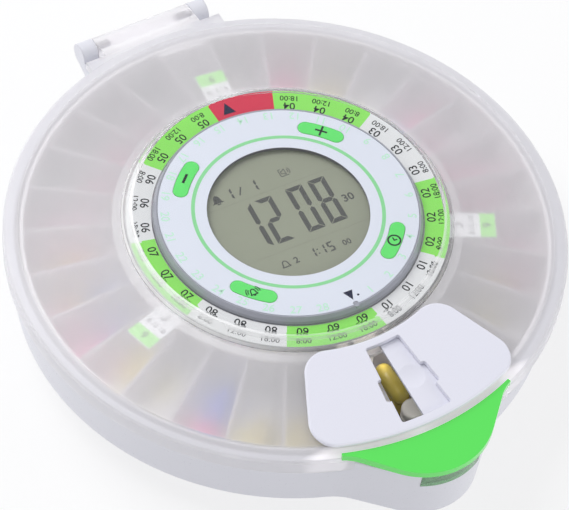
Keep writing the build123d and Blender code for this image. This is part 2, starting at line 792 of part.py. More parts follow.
with BuildPart() as label_ring:
    with BuildSketch(Plane.XY.offset(label_bottom)):
        Circle(label_outer_radius)
        Circle(label_inner_radius, mode=Mode.SUBTRACT)
    extrude(amount=label_thickness)
    tab_top = divider_inner_top + 1.2
    tab_foot = sqrt(label_outer_radius**2 - (tab_width / 2) ** 2) - label_thickness
    for turn in tab_turns:
        with BuildSketch(radial_plane(nose_azimuth + turn)):
            Polygon(
                (tab_foot, label_top),
                (tab_foot, tab_top - label_thickness),
                (label_outer_radius + tab_length, tab_top - label_thickness),
                (label_outer_radius + tab_length, tab_top),
                (tab_foot + label_thickness, tab_top),
                (tab_foot + label_thickness, label_top),
                align=None,
            )
        extrude(amount=tab_width / 2, both=True)
label_ring.part.label = "label_ring"
export_step(label_ring.part, "parts/label_ring.step")

# Pills: (cell, radius, sideways offset, layer); every layer lies on the one below
capsule_layer = 2 * capsule_radius + 0.1
tablet_layer = tablet_height + 0.1
pill_floor = tray_bottom + tray_floor
slot_pile = 5
yellow_capsules = [(0, 67.3, 2.4, layer) for layer in range(3)]
yellow_capsules += [(-9, 72.0, 0, 0), (-6, 66.0, 0, 0), (-3, 74.0, 1, 0), (-2, 73.0, -1, 0)]
yellow_capsules += [(4, 72.0, 0, 0), (11, 76.0, 0, 0)]
blue_capsules = [(-8, 64.0, 0, 0), (-4, 62.5, 0, 0), (9, 64.0, 0, 0)]
white_tablets = [(0, 80.6, 3.0, layer) for layer in range(slot_pile)]
white_tablets += [(cell, 72.0, 0, 0) for cell in (-1, 3, 10)]
white_tablets += [(cell, 81.5, 0, 0) for cell in (-12, -6, -5, -1, 2, 6, 13)]
pink_tablets = [(cell, 71.0, 0, 0) for cell in (-13, -12, -10, -7, 7, 8, 12)]
pink_tablets += [(cell, 81.5, 0, 0) for cell in (-10, -7, 5, 7, 9, 12)]
pink_tablets += [(-8, 77.5, 0, 0), (-4, 76.0, -1.5, 0)]


def pill_spot(cell, radius, offset, height):
    """Place on the tray, with local X pointing outwards along the cell."""
    turn = nose_azimuth + cell * cell_angle
    return Location((0, 0, height), (0, 0, turn)) * Location((radius, offset, 0))


def tablets(places):
    """Flat round tablets with a domed edge."""
    with BuildPart() as stack:
        for cell, radius, offset, layer in places:
            height = pill_floor + tablet_height / 2 + layer * tablet_layer
            with Locations(pill_spot(cell, radius, offset, height)):
                Cylinder(tablet_radius, tablet_height)
        fillet(stack.edges().filter_by(GeomType.CIRCLE), 1.1)
    return stack.part


def capsules(places):
    """Two-piece capsules lying along their cells."""
    with BuildPart() as stack:
        for cell, radius, offset, layer in places:
            height = pill_floor + capsule_radius + layer * capsule_layer
            straight = capsule_length - 2 * capsule_radius
            with Locations(pill_spot(cell, radius, offset, height)):
                Cylinder(capsule_radius, straight, rotation=(0, 90, 0))
                with Locations((-straight / 2, 0, 0), (straight / 2, 0, 0)):
                    Sphere(capsule_radius)
    return stack.part


with BuildPart() as pills_white:
    add(tablets(white_tablets))
pills_white.part.label = "pills_white"
export_step(pills_white.part, "parts/pills_white.step")

with BuildPart() as pills_pink:
    add(tablets(pink_tablets))
pills_pink.part.label = "pills_pink"
export_step(pills_pink.part, "parts/pills_pink.step")

with BuildPart() as pills_yellow:
    add(capsules(yellow_capsules))
pills_yellow.part.label = "pills_yellow"
export_step(pills_yellow.part, "parts/pills_yellow.step")

with BuildPart() as pills_blue:
    add(capsules(blue_capsules))
pills_blue.part.label = "pills_blue"
export_step(pills_blue.part, "parts/pills_blue.step")

# ================================================================ lid
skirt_bottom = rim_height - skirt_drop
skirt_inner = rim_radius + skirt_gap
ridge_radius = lid_radius - 0.7
ridge_height = shoulder_height - rim_bevel
nose_plate_bottom = nose_top + 0.3
nose_plate_thickness = 1.5
nose_plate_inset = cap_wall + glue_gap
latch_half_width = 7.0
latch_thickness = 1.6
latch_drop = 5.9
window_step = 0.2
flange_top = lid_top(window_radius + window_flange) - lid_thickness + 0.2
flange_thickness = 1.2
leaf_edge = lid_radius + leaf_reach
leaf_bottom = skirt_bottom + 1.8
slot_inner = window_inner_radius + 1.0
slot_outer = window_outer_radius - 1.0
slot_half_angle = window_half_angle - 0.4


def cone_shell(low, high, start=0.0, end=0.0):
    """Half section of a shell parallel to the lid's cone, between two rises above it."""
    end = end or lid_radius + 1
    return (
        (start, lid_top(start) + low),
        (end, lid_top(end) + low),
        (end, lid_top(end) + high),
        (start, lid_top(start) + high),
    )


with BuildPart() as lid_shell:
    with BuildSketch(Plane.XZ):
        Polygon(
            (window_radius + window_step, lid_top(window_radius + window_step)),
            (shoulder_radius, shoulder_height),
            (ridge_radius, ridge_height),
            (lid_radius, ridge_height - 1.0),
            (lid_radius, skirt_bottom),
            (skirt_inner, skirt_bottom),
            (skirt_inner, rim_height + 0.6),
            (shoulder_radius - 0.3, lid_top(shoulder_radius - 0.3) - lid_thickness),
            (
                window_radius + window_flange + window_step,
                lid_top(window_radius + window_flange + window_step) - lid_thickness,
            ),
            (window_radius + window_flange + window_step, flange_top + glue_gap),
            (window_radius + window_step, flange_top + glue_gap),
            align=None,
        )
    revolve(axis=Axis.Z)
    # skirt stops over the nose, and a plate covers it
    with BuildSketch(Plane.XY.offset(skirt_bottom - 1)):
        add(body_outline(rim_inset - skirt_gap, base_nose_extra))
    extrude(amount=nose_plate_bottom - skirt_bottom + 1, mode=Mode.SUBTRACT)
    with BuildSketch(Plane.XY.offset(nose_plate_bottom)):
        add(body_outline(nose_plate_inset))
        Circle(skirt_inner + 0.3, mode=Mode.SUBTRACT)
        with Locations((0, -lid_radius)):
            Rectangle(lid_radius, 2 * (nose_reach + 4), mode=Mode.INTERSECT)
    extrude(amount=nose_plate_thickness)
    # latch tongue
    with Locations((0, -skirt_inner - 0.3 - latch_thickness / 2, nose_plate_bottom - latch_drop / 2 + 0.3)):
        Box(2 * latch_half_width, latch_thickness, latch_drop + 0.6)
    # hinge tab and barrel
    with BuildSketch(Plane.XY.offset(leaf_bottom)):
        with Locations(Location((0, 0, 0), (0, 0, hinge_turn)) * Location((0, leaf_edge / 2))):
            Rectangle(2 * leaf_half_width, leaf_edge)
        Circle(skirt_inner + 0.6, mode=Mode.SUBTRACT)
    extrude(amount=ridge_height - 1.0 - leaf_bottom)
    with BuildSketch(hinge_plane.offset(-barrel_length / 2)):
        Polygon(
            (skirt_inner + 0.6, leaf_bottom),
            (skirt_inner + 0.6, ridge_height - 1.0),
            (leaf_edge, ridge_height - 1.0),
            (hinge_axis_radius, hinge_height + barrel_radius),
            (hinge_axis_radius, hinge_height),
            (hinge_axis_radius - barrel_radius, hinge_height),
            (leaf_edge, leaf_bottom),
            align=None,
        )
        with Locations((hinge_axis_radius, hinge_height)):
            Circle(barrel_radius)
    extrude(amount=barrel_length)
    with Locations(hinge_plane * Location((hinge_axis_radius, hinge_height, 0))):
        Cylinder(hinge_pin_radius + running_gap, barrel_length, mode=Mode.SUBTRACT)
    # slot pills fall out of
    with BuildSketch(Plane.XY.offset(skirt_bottom)):
        add(sector(slot_inner, slot_outer, nose_azimuth - slot_half_angle, nose_azimuth + slot_half_angle))
    extrude(amount=hub_face, mode=Mode.SUBTRACT)
lid_shell.part.label = "lid_shell"
export_step(lid_shell.part, "parts/lid_shell.step")

with BuildPart() as lid_window:
    window_top = hub_face + 1.6
    with BuildSketch(Plane.XZ):
        Polygon(
            (0, window_top),
            (window_top_radius, window_top),
            (window_radius, lid_top(window_radius)),
            (window_radius, flange_top),
            (window_radius + window_flange, flange_top),
            (window_radius + window_flange, flange_top - flange_thickness),
            (window_radius - window_wall, flange_top - flange_thickness),
            (window_radius - window_wall, lid_top(window_radius) - 0.1),
            (window_top_radius - window_wall, window_top - window_wall),
            (0, window_top - window_wall),
            align=None,
        )
    revolve(axis=Axis.Z)
    fillet(lid_window.edges().group_by(Axis.Z)[-1], window_edge_radius)
lid_window.part.label = "lid_window"
export_step(lid_window.part, "parts/lid_window.step")

cap_low = nose_top + cap_low_middle
cap_inner_radius = lid_radius - cap_inner_inset
cap_seat = nose_plate_bottom + nose_plate_thickness + glue_gap

with BuildPart() as nose_cap:
    with BuildSketch(Plane.XY.offset(cap_low)):
        add(body_outline(0))
    extrude(amount=10)
    with BuildSketch(Plane.XZ):
        Polygon(*cone_shell(cap_rise, 20, 0, 2 * lid_radius), align=None)
    revolve(axis=Axis.Z, mode=Mode.SUBTRACT)
    top_rim = nose_cap.faces().sort_by(Axis.Z)[-1].outer_wire().edges()
    fillet(top_rim, cap_edge_radius)
    # seat on the nose plate, with an edge that reaches over it
    with BuildSketch(Plane.XY.offset(cap_low)):
        add(body_outline(cap_wall))
    extrude(amount=cap_seat - cap_low, mode=Mode.SUBTRACT)
    # room for the lid's rim
    with BuildSketch(Plane.XZ):
        Polygon(
            (0, cap_low - 1),
            (lid_radius + glue_gap, cap_low - 1),
            (lid_radius + glue_gap, ridge_height - 1.0 + glue_gap),
            (ridge_radius + glue_gap, ridge_height + 2 * glue_gap),
            (shoulder_radius, shoulder_height + 2 * glue_gap),
            (0, shoulder_height + 2 * glue_gap),
            align=None,
        )
    revolve(axis=Axis.Z, mode=Mode.SUBTRACT)
    with BuildSketch(Plane.XY.offset(cap_low)):
        Circle(cap_inner_radius)
    extrude(amount=20, mode=Mode.SUBTRACT)
    with BuildSketch(Plane.XY.offset(cap_low)):
        add(
            sector(
                cap_inner_radius - 5,
                lid_radius + 2 * nose_reach,
                nose_azimuth - cap_half_angle,
                nose_azimuth + cap_half_angle,
            )
        )
    extrude(amount=20, mode=Mode.INTERSECT)
    # the lower edge rises in an arc towards the ends
    end_x = lid_radius * sin(radians(cap_half_angle)) + 1
    with BuildSketch(Plane.XZ):
        with BuildLine():
            low_edge = ThreePointArc(
                (-end_x, nose_top + cap_low_end), (0, cap_low), (end_x, nose_top + cap_low_end)
            )
            Polyline(
                low_edge @ 1,
                (end_x, cap_low - 2),
                (-end_x, cap_low - 2),
                low_edge @ 0,
            )
        make_face()
    extrude(amount=lid_radius + 2 * nose_reach, mode=Mode.SUBTRACT)
nose_cap.part.label = "nose_cap"
export_step(nose_cap.part, "parts/nose_cap.step")

# ---------------------------------------------------------------- hatch
door_width_angle = 2 * door_half_angle
door_rest = nose_azimuth + door_open_angle
cavity_start = nose_azimuth - door_half_angle - 1.0
cavity_end = door_rest + door_more_angle + door_half_angle + 1.5
door_inner = window_inner_radius - 1.2
door_outer = window_outer_radius + 0.8
cavity_gap = 0.2
dimple_radius = 4.0
dimple_depth = 0.5


def hatch_fan(inset, corner):
    """Plan of the hatch plate, or of something inside its outline."""
    angle = degrees(inset / hatch_outer_radius)
    start = nose_azimuth - hatch_half_angle + angle
    end = nose_azimuth + hatch_half_angle - angle
    with BuildSketch(Plane.XY) as outline:
        add(sector(hatch_inner_radius + inset, hatch_outer_radius - inset, start, end))
        fillet(outline.vertices(), corner)
    return outline.sketch


def hatch_window():
    """Plan of the hatch's opening with a finger notch in each side."""
    start = nose_azimuth - window_half_angle
    end = nose_azimuth + window_half_angle
    with BuildSketch(Plane.XY) as outline:
        add(sector(window_inner_radius, window_outer_radius, start, end))
        fillet(outline.vertices(), 0.8)
        middle = (window_inner_radius + window_outer_radius) / 2 + 2
        notch_angle = degrees(notch_depth / middle)
        low, high = middle - notch_length / 2, middle + notch_length / 2
        with BuildSketch(Plane.XY, mode=Mode.PRIVATE) as notches:
            add(sector(low, high, start - notch_angle, end + notch_angle))
            fillet(notches.vertices(), 1.0)
        add(notches.sketch)
    return outline.sketch


with BuildPart() as frame_zone:
    with BuildSketch(Plane.XZ):
        Polygon(*cone_shell(glue_gap, hatch_rise - hatch_thickness + 0.01), align=None)
    revolve(axis=Axis.Z)
    with BuildSketch(Plane.XY.offset(skirt_bottom)):
        add(hatch_fan(hatch_margin, hatch_corner - hatch_margin))
    extrude(amount=hub_face, mode=Mode.INTERSECT)
    with BuildSketch(Plane.XY.offset(skirt_bottom)):
        add(sector(door_inner - cavity_gap, door_outer + cavity_gap, cavity_start, cavity_end))
    extrude(amount=hub_face, mode=Mode.SUBTRACT)

with BuildPart() as hatch_plate:
    with BuildSketch(Plane.XZ):
        Polygon(*cone_shell(hatch_rise - hatch_thickness, hatch_rise), align=None)
    revolve(axis=Axis.Z)
    with BuildSketch(Plane.XY.offset(skirt_bottom)):
        add(hatch_fan(0, hatch_corner))
    extrude(amount=hub_face, mode=Mode.INTERSECT)
    fillet(hatch_plate.faces().sort_by(Axis.Z)[-1].outer_wire().edges(), hatch_edge_radius)
    add(frame_zone.part)
    with BuildSketch(Plane.XY.offset(skirt_bottom)):
        add(hatch_window())
    extrude(amount=hub_face, mode=Mode.SUBTRACT)
hatch_plate.part.label = "hatch_plate"
export_step(hatch_plate.part, "parts/hatch_plate.step")

with BuildPart() as hatch_door:
    with BuildSketch(Plane.XZ):
        Polygon(*cone_shell(door_gap, door_gap + door_thickness), align=None)
    revolve(axis=Axis.Z)
    with BuildSketch(Plane.XY.offset(skirt_bottom)):
        add(sector(door_inner, door_outer, door_rest - door_half_angle, door_rest + door_half_angle))
    extrude(amount=hub_face, mode=Mode.INTERSECT)
    dimple_spot = polar(
        (door_inner + door_outer) / 2 + 2, door_rest - door_half_angle + degrees(dimple_radius / 78)
    )
    dimple_top = lid_top((door_inner + door_outer) / 2 + 2) + door_gap + door_thickness
    dimple_ball = (dimple_radius**2 + dimple_depth**2) / (2 * dimple_depth)
    with Locations((*dimple_spot, dimple_top - dimple_depth + dimple_ball)):
        Sphere(dimple_ball, mode=Mode.SUBTRACT)
hatch_door.part.label = "hatch_door"
export_step(hatch_door.part, "parts/hatch_door.step")

# ---------------------------------------------------------------- lamp in the nose
with BuildPart() as beacon_lens:
    with BuildSketch(Plane.XY.offset(lens_bottom + 0.05)):
        add(body_outline(rim_inset + 0.5, base_nose_extra))
        add(body_outline(rim_inset + 0.5 + wall_thickness, base_nose_extra), mode=Mode.SUBTRACT)
        with Locations((0, -lid_radius - nose_reach)):
            Rectangle(2 * lens_half_width, 2 * nose_reach, mode=Mode.INTERSECT)
    extrude(amount=lens_height - 0.05)
beacon_lens.part.label = "beacon_lens"
export_step(beacon_lens.part, "parts/beacon_lens.step")

with BuildPart() as beacon_board:
    with Locations((0, -led_board_middle, led_board_bottom + led_board_thickness / 2)):
        Box(2 * led_board_half, led_board_depth, led_board_thickness)
beacon_board.part.label = "beacon_board"
export_step(beacon_board.part, "parts/beacon_board.step")

with BuildPart() as beacon_leds:
    led_seat = led_board_bottom + led_board_thickness
    for across in (-5.5, 5.5):
        with Locations((across, -led_board_middle, led_seat)):
            with Locations((0, 0, 0.75)):
                Cylinder(led_radius, 1.5)
            with Locations((0, 0, 1.5)):
                Sphere(led_radius)
    with BuildSketch(Plane.XY.offset(led_seat)):
        Rectangle(4 * led_board_half, 4 * led_board_half)
        with Locations((0, -led_board_middle)):
            Rectangle(4 * led_board_half, 4 * led_board_half)
    extrude(amount=led_radius * 2, mode=Mode.INTERSECT)
beacon_leds.part.label = "beacon_leds"
export_step(beacon_leds.part, "parts/beacon_leds.step")

# ================================================================ dial
face_bottom = hub_face - face_thickness
bezel_foot = 2.0
ledge_width = 1.4
display_frame_wall = 2.0
display_frame_inner = display_radius + 2.1
glass_radius = display_frame_inner - 0.3
lens_thickness = 1.0
glass_thickness = 1.8
dome_height = 0.3
dome_radius = 2.2
flange_top_gap = 0.1
flange_thick = 1.1
stem_radius = 1.6
key_names = ("key_clock", "key_plus", "key_minus", "key_bell")
key_middles = (44.9, 134.5, -136.8, -46.5)
key_spots = {
    name: nose_azimuth + dial_turn + middle for name, middle in zip(key_names, key_middles)
}

with BuildPart() as hub_bezel:
    with BuildSketch(Plane.XZ):
        Polygon(
            (column_bore - 1.6, column_top - bezel_foot),
            (column_bore - 0.1, column_top - bezel_foot),
            (column_bore - 0.1, column_top),
            (bezel_radius, column_top),
            (bezel_radius, column_top + 0.8),
            (bezel_radius - bezel_slope, hub_face),
            (face_radius, hub_face),
            (face_radius, face_bottom),
            (face_radius - ledge_width, face_bottom),
            (face_radius - ledge_width, face_bottom - 1.5),
            (column_bore - 1.6, column_top + 0.4),
            align=None,
        )
    revolve(axis=Axis.Z)
    with BuildSketch(Plane.XY.offset(face_bottom)):
        with Locations((0, -face_radius)):
            RectangleRounded(1.6, 2.2, 0.6)
    extrude(amount=face_thickness)
hub_bezel.part.label = "hub_bezel"
export_step(hub_bezel.part, "parts/hub_bezel.step")

with BuildPart() as hub_face_plate:
    with BuildSketch(Plane.XY.offset(face_bottom)):
        Circle(face_radius - 0.15)
        Circle(display_radius, mode=Mode.SUBTRACT)
        for azimuth in key_spots.values():
            add(
                curved_slot(key_ring_radius, azimuth, key_half_angle, key_width + 2 * key_gap),
                mode=Mode.SUBTRACT,
            )
        with Locations((0, -face_radius)):
            RectangleRounded(1.9, 2.5, 0.7, mode=Mode.SUBTRACT)
    extrude(amount=face_thickness)
hub_face_plate.part.label = "hub_face"
export_step(hub_face_plate.part, "parts/hub_face.step")


def key_shape(azimuth):
    """Key with a flange that keeps it under the face and a stem over its switch."""
    flange_high = face_bottom - flange_top_gap
    with BuildPart() as key:
        with BuildSketch(Plane.XY.offset(flange_high)):
            add(curved_slot(key_ring_radius, azimuth, key_half_angle, key_width))
        extrude(amount=hub_face + key_proud - flange_high)
        fillet(key.edges().group_by(Axis.Z)[-1], 0.25)
        with BuildSketch(Plane.XY.offset(flange_high)):
            add(curved_slot(key_ring_radius, azimuth, key_half_angle, flange_width))
        extrude(amount=-flange_thick)
        with BuildSketch(Plane.XY.offset(flange_high - flange_thick)):
            with Locations(polar(key_ring_radius, azimuth)):
                Circle(stem_radius)
        extrude(amount=-(flange_high - flange_thick - board_top - dome_height - key_travel - 0.2))
    return key.part


for key_name, key_azimuth in key_spots.items():
    with BuildPart() as key_part:
        add(key_shape(key_azimuth))
    key_part.part.label = key_name
    export_step(key_part.part, f"parts/{key_name}.step")

with BuildPart() as circuit_board:
    with BuildSketch(Plane.XY.offset(board_bottom)):
        Circle(board_radius)
        with Locations(*board_screw_spots):
            Circle(small_screw_radius + 0.15, mode=Mode.SUBTRACT)
    extrude(amount=board_thickness)
circuit_board.part.label = "circuit_board"
export_step(circuit_board.part, "parts/circuit_board.step")

with BuildPart() as small_screws:
    for spot in deck_screw_spots + motor_screw_spots:
        add(small_screw(spot, deck_top))
    for spot in board_screw_spots:
        add(small_screw(spot, board_top))
small_screws.part.label = "small_screws"
export_step(small_screws.part, "parts/small_screws.step")

with BuildPart() as key_domes:
    for azimuth in key_spots.values():
        cylinder_between(dome_radius, board_top, board_top + dome_height, polar(key_ring_radius, azimuth))
key_domes.part.label = "key_domes"
export_step(key_domes.part, "parts/key_domes.step")

with BuildPart() as buzzer:
    buzzer_spot = (-15, -15)
    cylinder_between(7.0, board_bottom - 3.5, board_bottom, buzzer_spot)
    cylinder_between(1.0, board_bottom - 3.5, board_bottom - 2.5, buzzer_spot, Mode.SUBTRACT)
buzzer.part.label = "buzzer"
export_step(buzzer.part, "parts/buzzer.step")

with BuildPart() as controller_chip:
    with Locations((-4, 14, board_bottom - 0.75)):
        Box(9, 9, 1.5)
controller_chip.part.label = "controller_chip"
export_step(controller_chip.part, "parts/controller_chip.step")

glass_top = face_bottom - lens_thickness - 0.2
with BuildPart() as display_frame:
    with BuildSketch(Plane.XY.offset(board_top)):
        Circle(display_frame_inner + display_frame_wall)
        Circle(display_frame_inner, mode=Mode.SUBTRACT)
    extrude(amount=face_bottom - board_top)
display_frame.part.label = "display_frame"
export_step(display_frame.part, "parts/display_frame.step")

with BuildPart() as display_strips:
    for side in (-1, 1):
        with Locations((0, side * 24, (board_top + glass_top - glass_thickness) / 2)):
            Box(24, 2.4, glass_top - glass_thickness - board_top)
display_strips.part.label = "display_strips"
export_step(display_strips.part, "parts/display_strips.step")

with BuildPart() as display_glass:
    cylinder_between(glass_radius, glass_top - glass_thickness, glass_top)
display_glass.part.label = "display_glass"
export_step(display_glass.part, "parts/display_glass.step")

with BuildPart() as display_lens:
    cylinder_between(glass_radius, face_bottom - lens_thickness, face_bottom)
display_lens.part.label = "display_lens"
export_step(display_lens.part, "parts/display_lens.step")
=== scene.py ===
import json
import math

import bpy
from mathutils import Matrix, Vector

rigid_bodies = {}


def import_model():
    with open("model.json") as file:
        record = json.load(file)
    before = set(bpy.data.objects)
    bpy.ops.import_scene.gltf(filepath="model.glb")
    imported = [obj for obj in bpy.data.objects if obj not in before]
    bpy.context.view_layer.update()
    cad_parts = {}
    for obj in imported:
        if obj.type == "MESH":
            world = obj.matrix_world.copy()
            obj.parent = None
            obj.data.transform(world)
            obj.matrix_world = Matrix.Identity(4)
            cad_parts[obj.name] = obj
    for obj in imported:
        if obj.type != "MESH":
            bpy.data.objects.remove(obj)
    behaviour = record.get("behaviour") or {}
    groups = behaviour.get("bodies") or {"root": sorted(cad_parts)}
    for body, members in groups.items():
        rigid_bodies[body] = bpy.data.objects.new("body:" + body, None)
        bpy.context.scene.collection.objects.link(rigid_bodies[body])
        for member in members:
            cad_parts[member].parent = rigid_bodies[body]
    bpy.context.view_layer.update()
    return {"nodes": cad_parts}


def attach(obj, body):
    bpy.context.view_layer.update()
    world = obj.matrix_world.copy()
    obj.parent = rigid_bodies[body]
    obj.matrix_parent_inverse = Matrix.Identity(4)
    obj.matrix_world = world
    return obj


# ---------------------------------------------------------------- frame
for old in list(bpy.data.objects):
    bpy.data.objects.remove(old, do_unlink=True)
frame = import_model()
nodes = frame["nodes"]
scene = bpy.context.scene
MM = 0.001

# Places on the object, in millimetres and degrees
PLACES = 29  # the tray's cells: 28 open ones and the closed home cell
HOME = (13, 14)  # the two places that the label's red field covers
CELL = 360 / PLACES
FRONT = -90  # azimuth of the nose
DIAL_TURN = -2.4
FACE_Z = 53.0
KEY_Z = 53.2
LABEL_Z = 50.0
TAB_Z = 45.4
GLASS_Z = 50.6
PRINT_THICK = 0.03
PRINT_SUNK = 0.004  # underside of a print above its surface
OVER_PRINT = 0.035  # a second print on top of the first

# Materials
RELIEF_DEPTH = 0.0002  # metres
NOISE_SPAN = (0.3, 0.7)  # where most values of a noise lie
CLEAR_IOR = 1.46
CLEAR_GRAIN = 900.0
TINT_VARY = 0.02
LID_CLEAR = 0.78  # share of light that goes through
TRAY_CLEAR = 0.32

# The photograph's frame and camera
PHOTO_WIDTH = 569
SENSOR_WIDTH = 36.0


# ---------------------------------------------------------------- materials
def new_material(name):
    made = bpy.data.materials.new(name)
    made.use_nodes = True
    tree = made.node_tree
    tree.nodes.clear()
    return made, tree


def link(tree, a, b):
    tree.links.new(a, b)


def node(tree, kind, **values):
    made = tree.nodes.new(kind)
    for key, value in values.items():
        setattr(made, key, value)
    return made


def noise(tree, scale, detail=3.0, rough=0.55):
    where = node(tree, "ShaderNodeTexCoord")
    made = node(tree, "ShaderNodeTexNoise")
    made.inputs["Scale"].default_value = scale
    made.inputs["Detail"].default_value = detail
    made.inputs["Roughness"].default_value = rough
    link(tree, where.outputs["Object"], made.inputs["Vector"])
    return made


def mixed_colour(tree, factor, a, b):
    made = node(tree, "ShaderNodeMix", data_type="RGBA")
    link(tree, factor, made.inputs[0])
    made.inputs[6].default_value = (*a, 1)
    made.inputs[7].default_value = (*b, 1)
    return made.outputs[2]


def ranged(tree, value, low, high):
    made = node(tree, "ShaderNodeMapRange")
    link(tree, value, made.inputs["Value"])
    made.inputs["From Min"].default_value, made.inputs["From Max"].default_value = NOISE_SPAN
    made.inputs["To Min"].default_value = low
    made.inputs["To Max"].default_value = high
    return made.outputs["Result"]


def plastic(
    name,
    colour,
    rough=0.35,
    vary=0.03,
    grain=1400.0,
    bump=0.03,
    patch=35.0,
    **sockets,
):
    """Moulded plastic and the like: faint cloudy tint, uneven gloss and a fine surface grain."""
    made, tree = new_material(name)
    shader = node(tree, "ShaderNodeBsdfPrincipled")
    out = node(tree, "ShaderNodeOutputMaterial")
    link(tree, shader.outputs[0], out.inputs["Surface"])
    cloud = noise(tree, patch)
    dark = tuple(max(0.0, c * (1 - vary)) for c in colour)
    light = tuple(min(1.0, c * (1 + vary)) for c in colour)
    tint = mixed_colour(tree, cloud.outputs["Fac"], dark, light)
    link(tree, tint, shader.inputs["Base Color"])
    fine = noise(tree, grain, 2.0)
    uneven = ranged(tree, fine.outputs["Fac"], rough * 0.85, rough * 1.15)
    link(tree, uneven, shader.inputs["Roughness"])
    relief = node(tree, "ShaderNodeBump")
    relief.inputs["Strength"].default_value = bump
    relief.inputs["Distance"].default_value = RELIEF_DEPTH
    link(tree, fine.outputs["Fac"], relief.inputs["Height"])
    link(tree, relief.outputs["Normal"], shader.inputs["Normal"])
    for key, value in sockets.items():
        shader.inputs[key.replace("_", " ")].default_value = value
    return made


def node_of(made, kind):
    return next(n for n in made.node_tree.nodes if n.type == kind)


def shader_of(made):
    return node_of(made, "BSDF_PRINCIPLED")


def see_through(name, colour, rough, clear, shadow, bump=0.02):
    """Clear or frosted plastic. Shadow and diffuse rays pass straight on, tinted by shadow."""
    made = plastic(name, colour, rough, TINT_VARY, CLEAR_GRAIN, bump)
    tree = made.node_tree
    shader = shader_of(made)
    out = node_of(made, "OUTPUT_MATERIAL")
    shader.inputs["Transmission Weight"].default_value = clear
    shader.inputs["IOR"].default_value = CLEAR_IOR
    ray = node(tree, "ShaderNodeLightPath")
    either = node(tree, "ShaderNodeMath", operation="MAXIMUM")
    link(tree, ray.outputs["Is Shadow Ray"], either.inputs[0])
    link(tree, ray.outputs["Is Diffuse Ray"], either.inputs[1])
    pass_on = node(tree, "ShaderNodeBsdfTransparent")
    pass_on.inputs["Color"].default_value = (*shadow, 1)
    mix = node(tree, "ShaderNodeMixShader")
    link(tree, either.outputs[0], mix.inputs[0])
    link(tree, shader.outputs[0], mix.inputs[1])
    link(tree, pass_on.outputs[0], mix.inputs[2])
    link(tree, mix.outputs[0], out.inputs["Surface"])
    return made


def softened(made, radius):
    """Light falls on sharp edges as if they were rounded by a radius in millimetres."""
    tree = made.node_tree
    edge = node(tree, "ShaderNodeBevel", samples=8)
    edge.inputs["Radius"].default_value = radius * MM
    link(tree, edge.outputs["Normal"], node_of(made, "BUMP").inputs["Normal"])


def past(tree, start, end, axis=None):
    """0 before start and 1 past end: a radius in plan, or a place on an axis, in millimetres."""
    where = node(tree, "ShaderNodeTexCoord")
    parts = node(tree, "ShaderNodeSeparateXYZ")
    link(tree, where.outputs["Object"], parts.inputs[0])
    if axis is None:
        flat = node(tree, "ShaderNodeCombineXYZ")
        link(tree, parts.outputs["X"], flat.inputs["X"])
        link(tree, parts.outputs["Y"], flat.inputs["Y"])
        size = node(tree, "ShaderNodeVectorMath", operation="LENGTH")
        link(tree, flat.outputs[0], size.inputs[0])
        value = size.outputs["Value"]
    else:
        value = parts.outputs[axis]
    made = node(tree, "ShaderNodeMapRange")
    link(tree, value, made.inputs["Value"])
    made.inputs["From Min"].default_value = start * MM
    made.inputs["From Max"].default_value = end * MM
    return made.outputs["Result"]


def less(tree, a, b):
    """One factor less another, kept between 0 and 1."""
    made = node(tree, "ShaderNodeMath", operation="SUBTRACT", use_clamp=True)
    link(tree, a, made.inputs[0])
    link(tree, b, made.inputs[1])
    return made.outputs[0]


def joined(tree, operation, a, b):
    """Two factors joined by a sum, a product or their maximum."""
    made = node(tree, "ShaderNodeMath", operation=operation)
    link(tree, a, made.inputs[0])
    link(tree, b, made.inputs[1])
    return made.outputs[0]


def steered(made, socket, factor, low, high):
    """A number socket that goes from low to high with a factor."""
    tree = made.node_tree
    value = node(tree, "ShaderNodeMapRange")
    link(tree, factor, value.inputs["Value"])
    value.inputs["To Min"].default_value = low
    value.inputs["To Max"].default_value = high
    link(tree, value.outputs["Result"], shader_of(made).inputs[socket])


def glowing(made, factor, colour, strength):
    """A faint painted light: emission where the factor is 1."""
    shader_of(made).inputs["Emission Color"].default_value = (*colour, 1)
    steered(made, "Emission Strength", factor, 0.0, strength)


def tinted(made, factor, colour):
    """Blends the base colour towards another one with a factor."""
    tree = made.node_tree
    shader = shader_of(made)
    before = shader.inputs["Base Color"].links[0].from_socket
    mix = node(tree, "ShaderNodeMix", data_type="RGBA")
    link(tree, factor, mix.inputs[0])
    link(tree, before, mix.inputs[6])
    mix.inputs[7].default_value = (*colour, 1)
    link(tree, mix.outputs[2], shader.inputs["Base Color"])


# Colour, roughness, how far the colour varies, grain and bump; then special sockets
M = {}
M["case"] = plastic("case_white", (0.73, 0.73, 0.79), 0.32, 0.012, 1600, 0.03)
M["cover"] = plastic("cover_white", (0.78, 0.78, 0.82), 0.5, 0.02, 2500, 0.12)
M["pin"] = plastic("hinge_pin", (0.70, 0.70, 0.71), 0.3, 0.05, 2000, 0.05, Metallic=1.0)
M["rubber"] = plastic("foot_rubber", (0.20, 0.20, 0.215), 0.75, 0.08, 2600, 0.25)
M["steel"] = plastic("screw_steel", (0.55, 0.55, 0.56), 0.34, 0.05, 3000, 0.08, Metallic=1.0)
M["jacket"] = plastic("cell_jacket", (0.10, 0.11, 0.13), 0.3, 0.05, 900, 0.02, Coat_Weight=0.5)
M["nickel"] = plastic("contact_nickel", (0.72, 0.70, 0.66), 0.28, 0.04, 2500, 0.05, Metallic=1.0)
M["deck"] = plastic("deck_plastic", (0.62, 0.62, 0.60), 0.5, 0.03, 2500, 0.1)
M["gear"] = plastic("gear_acetal", (0.80, 0.80, 0.76), 0.38, 0.02, 2000, 0.04)
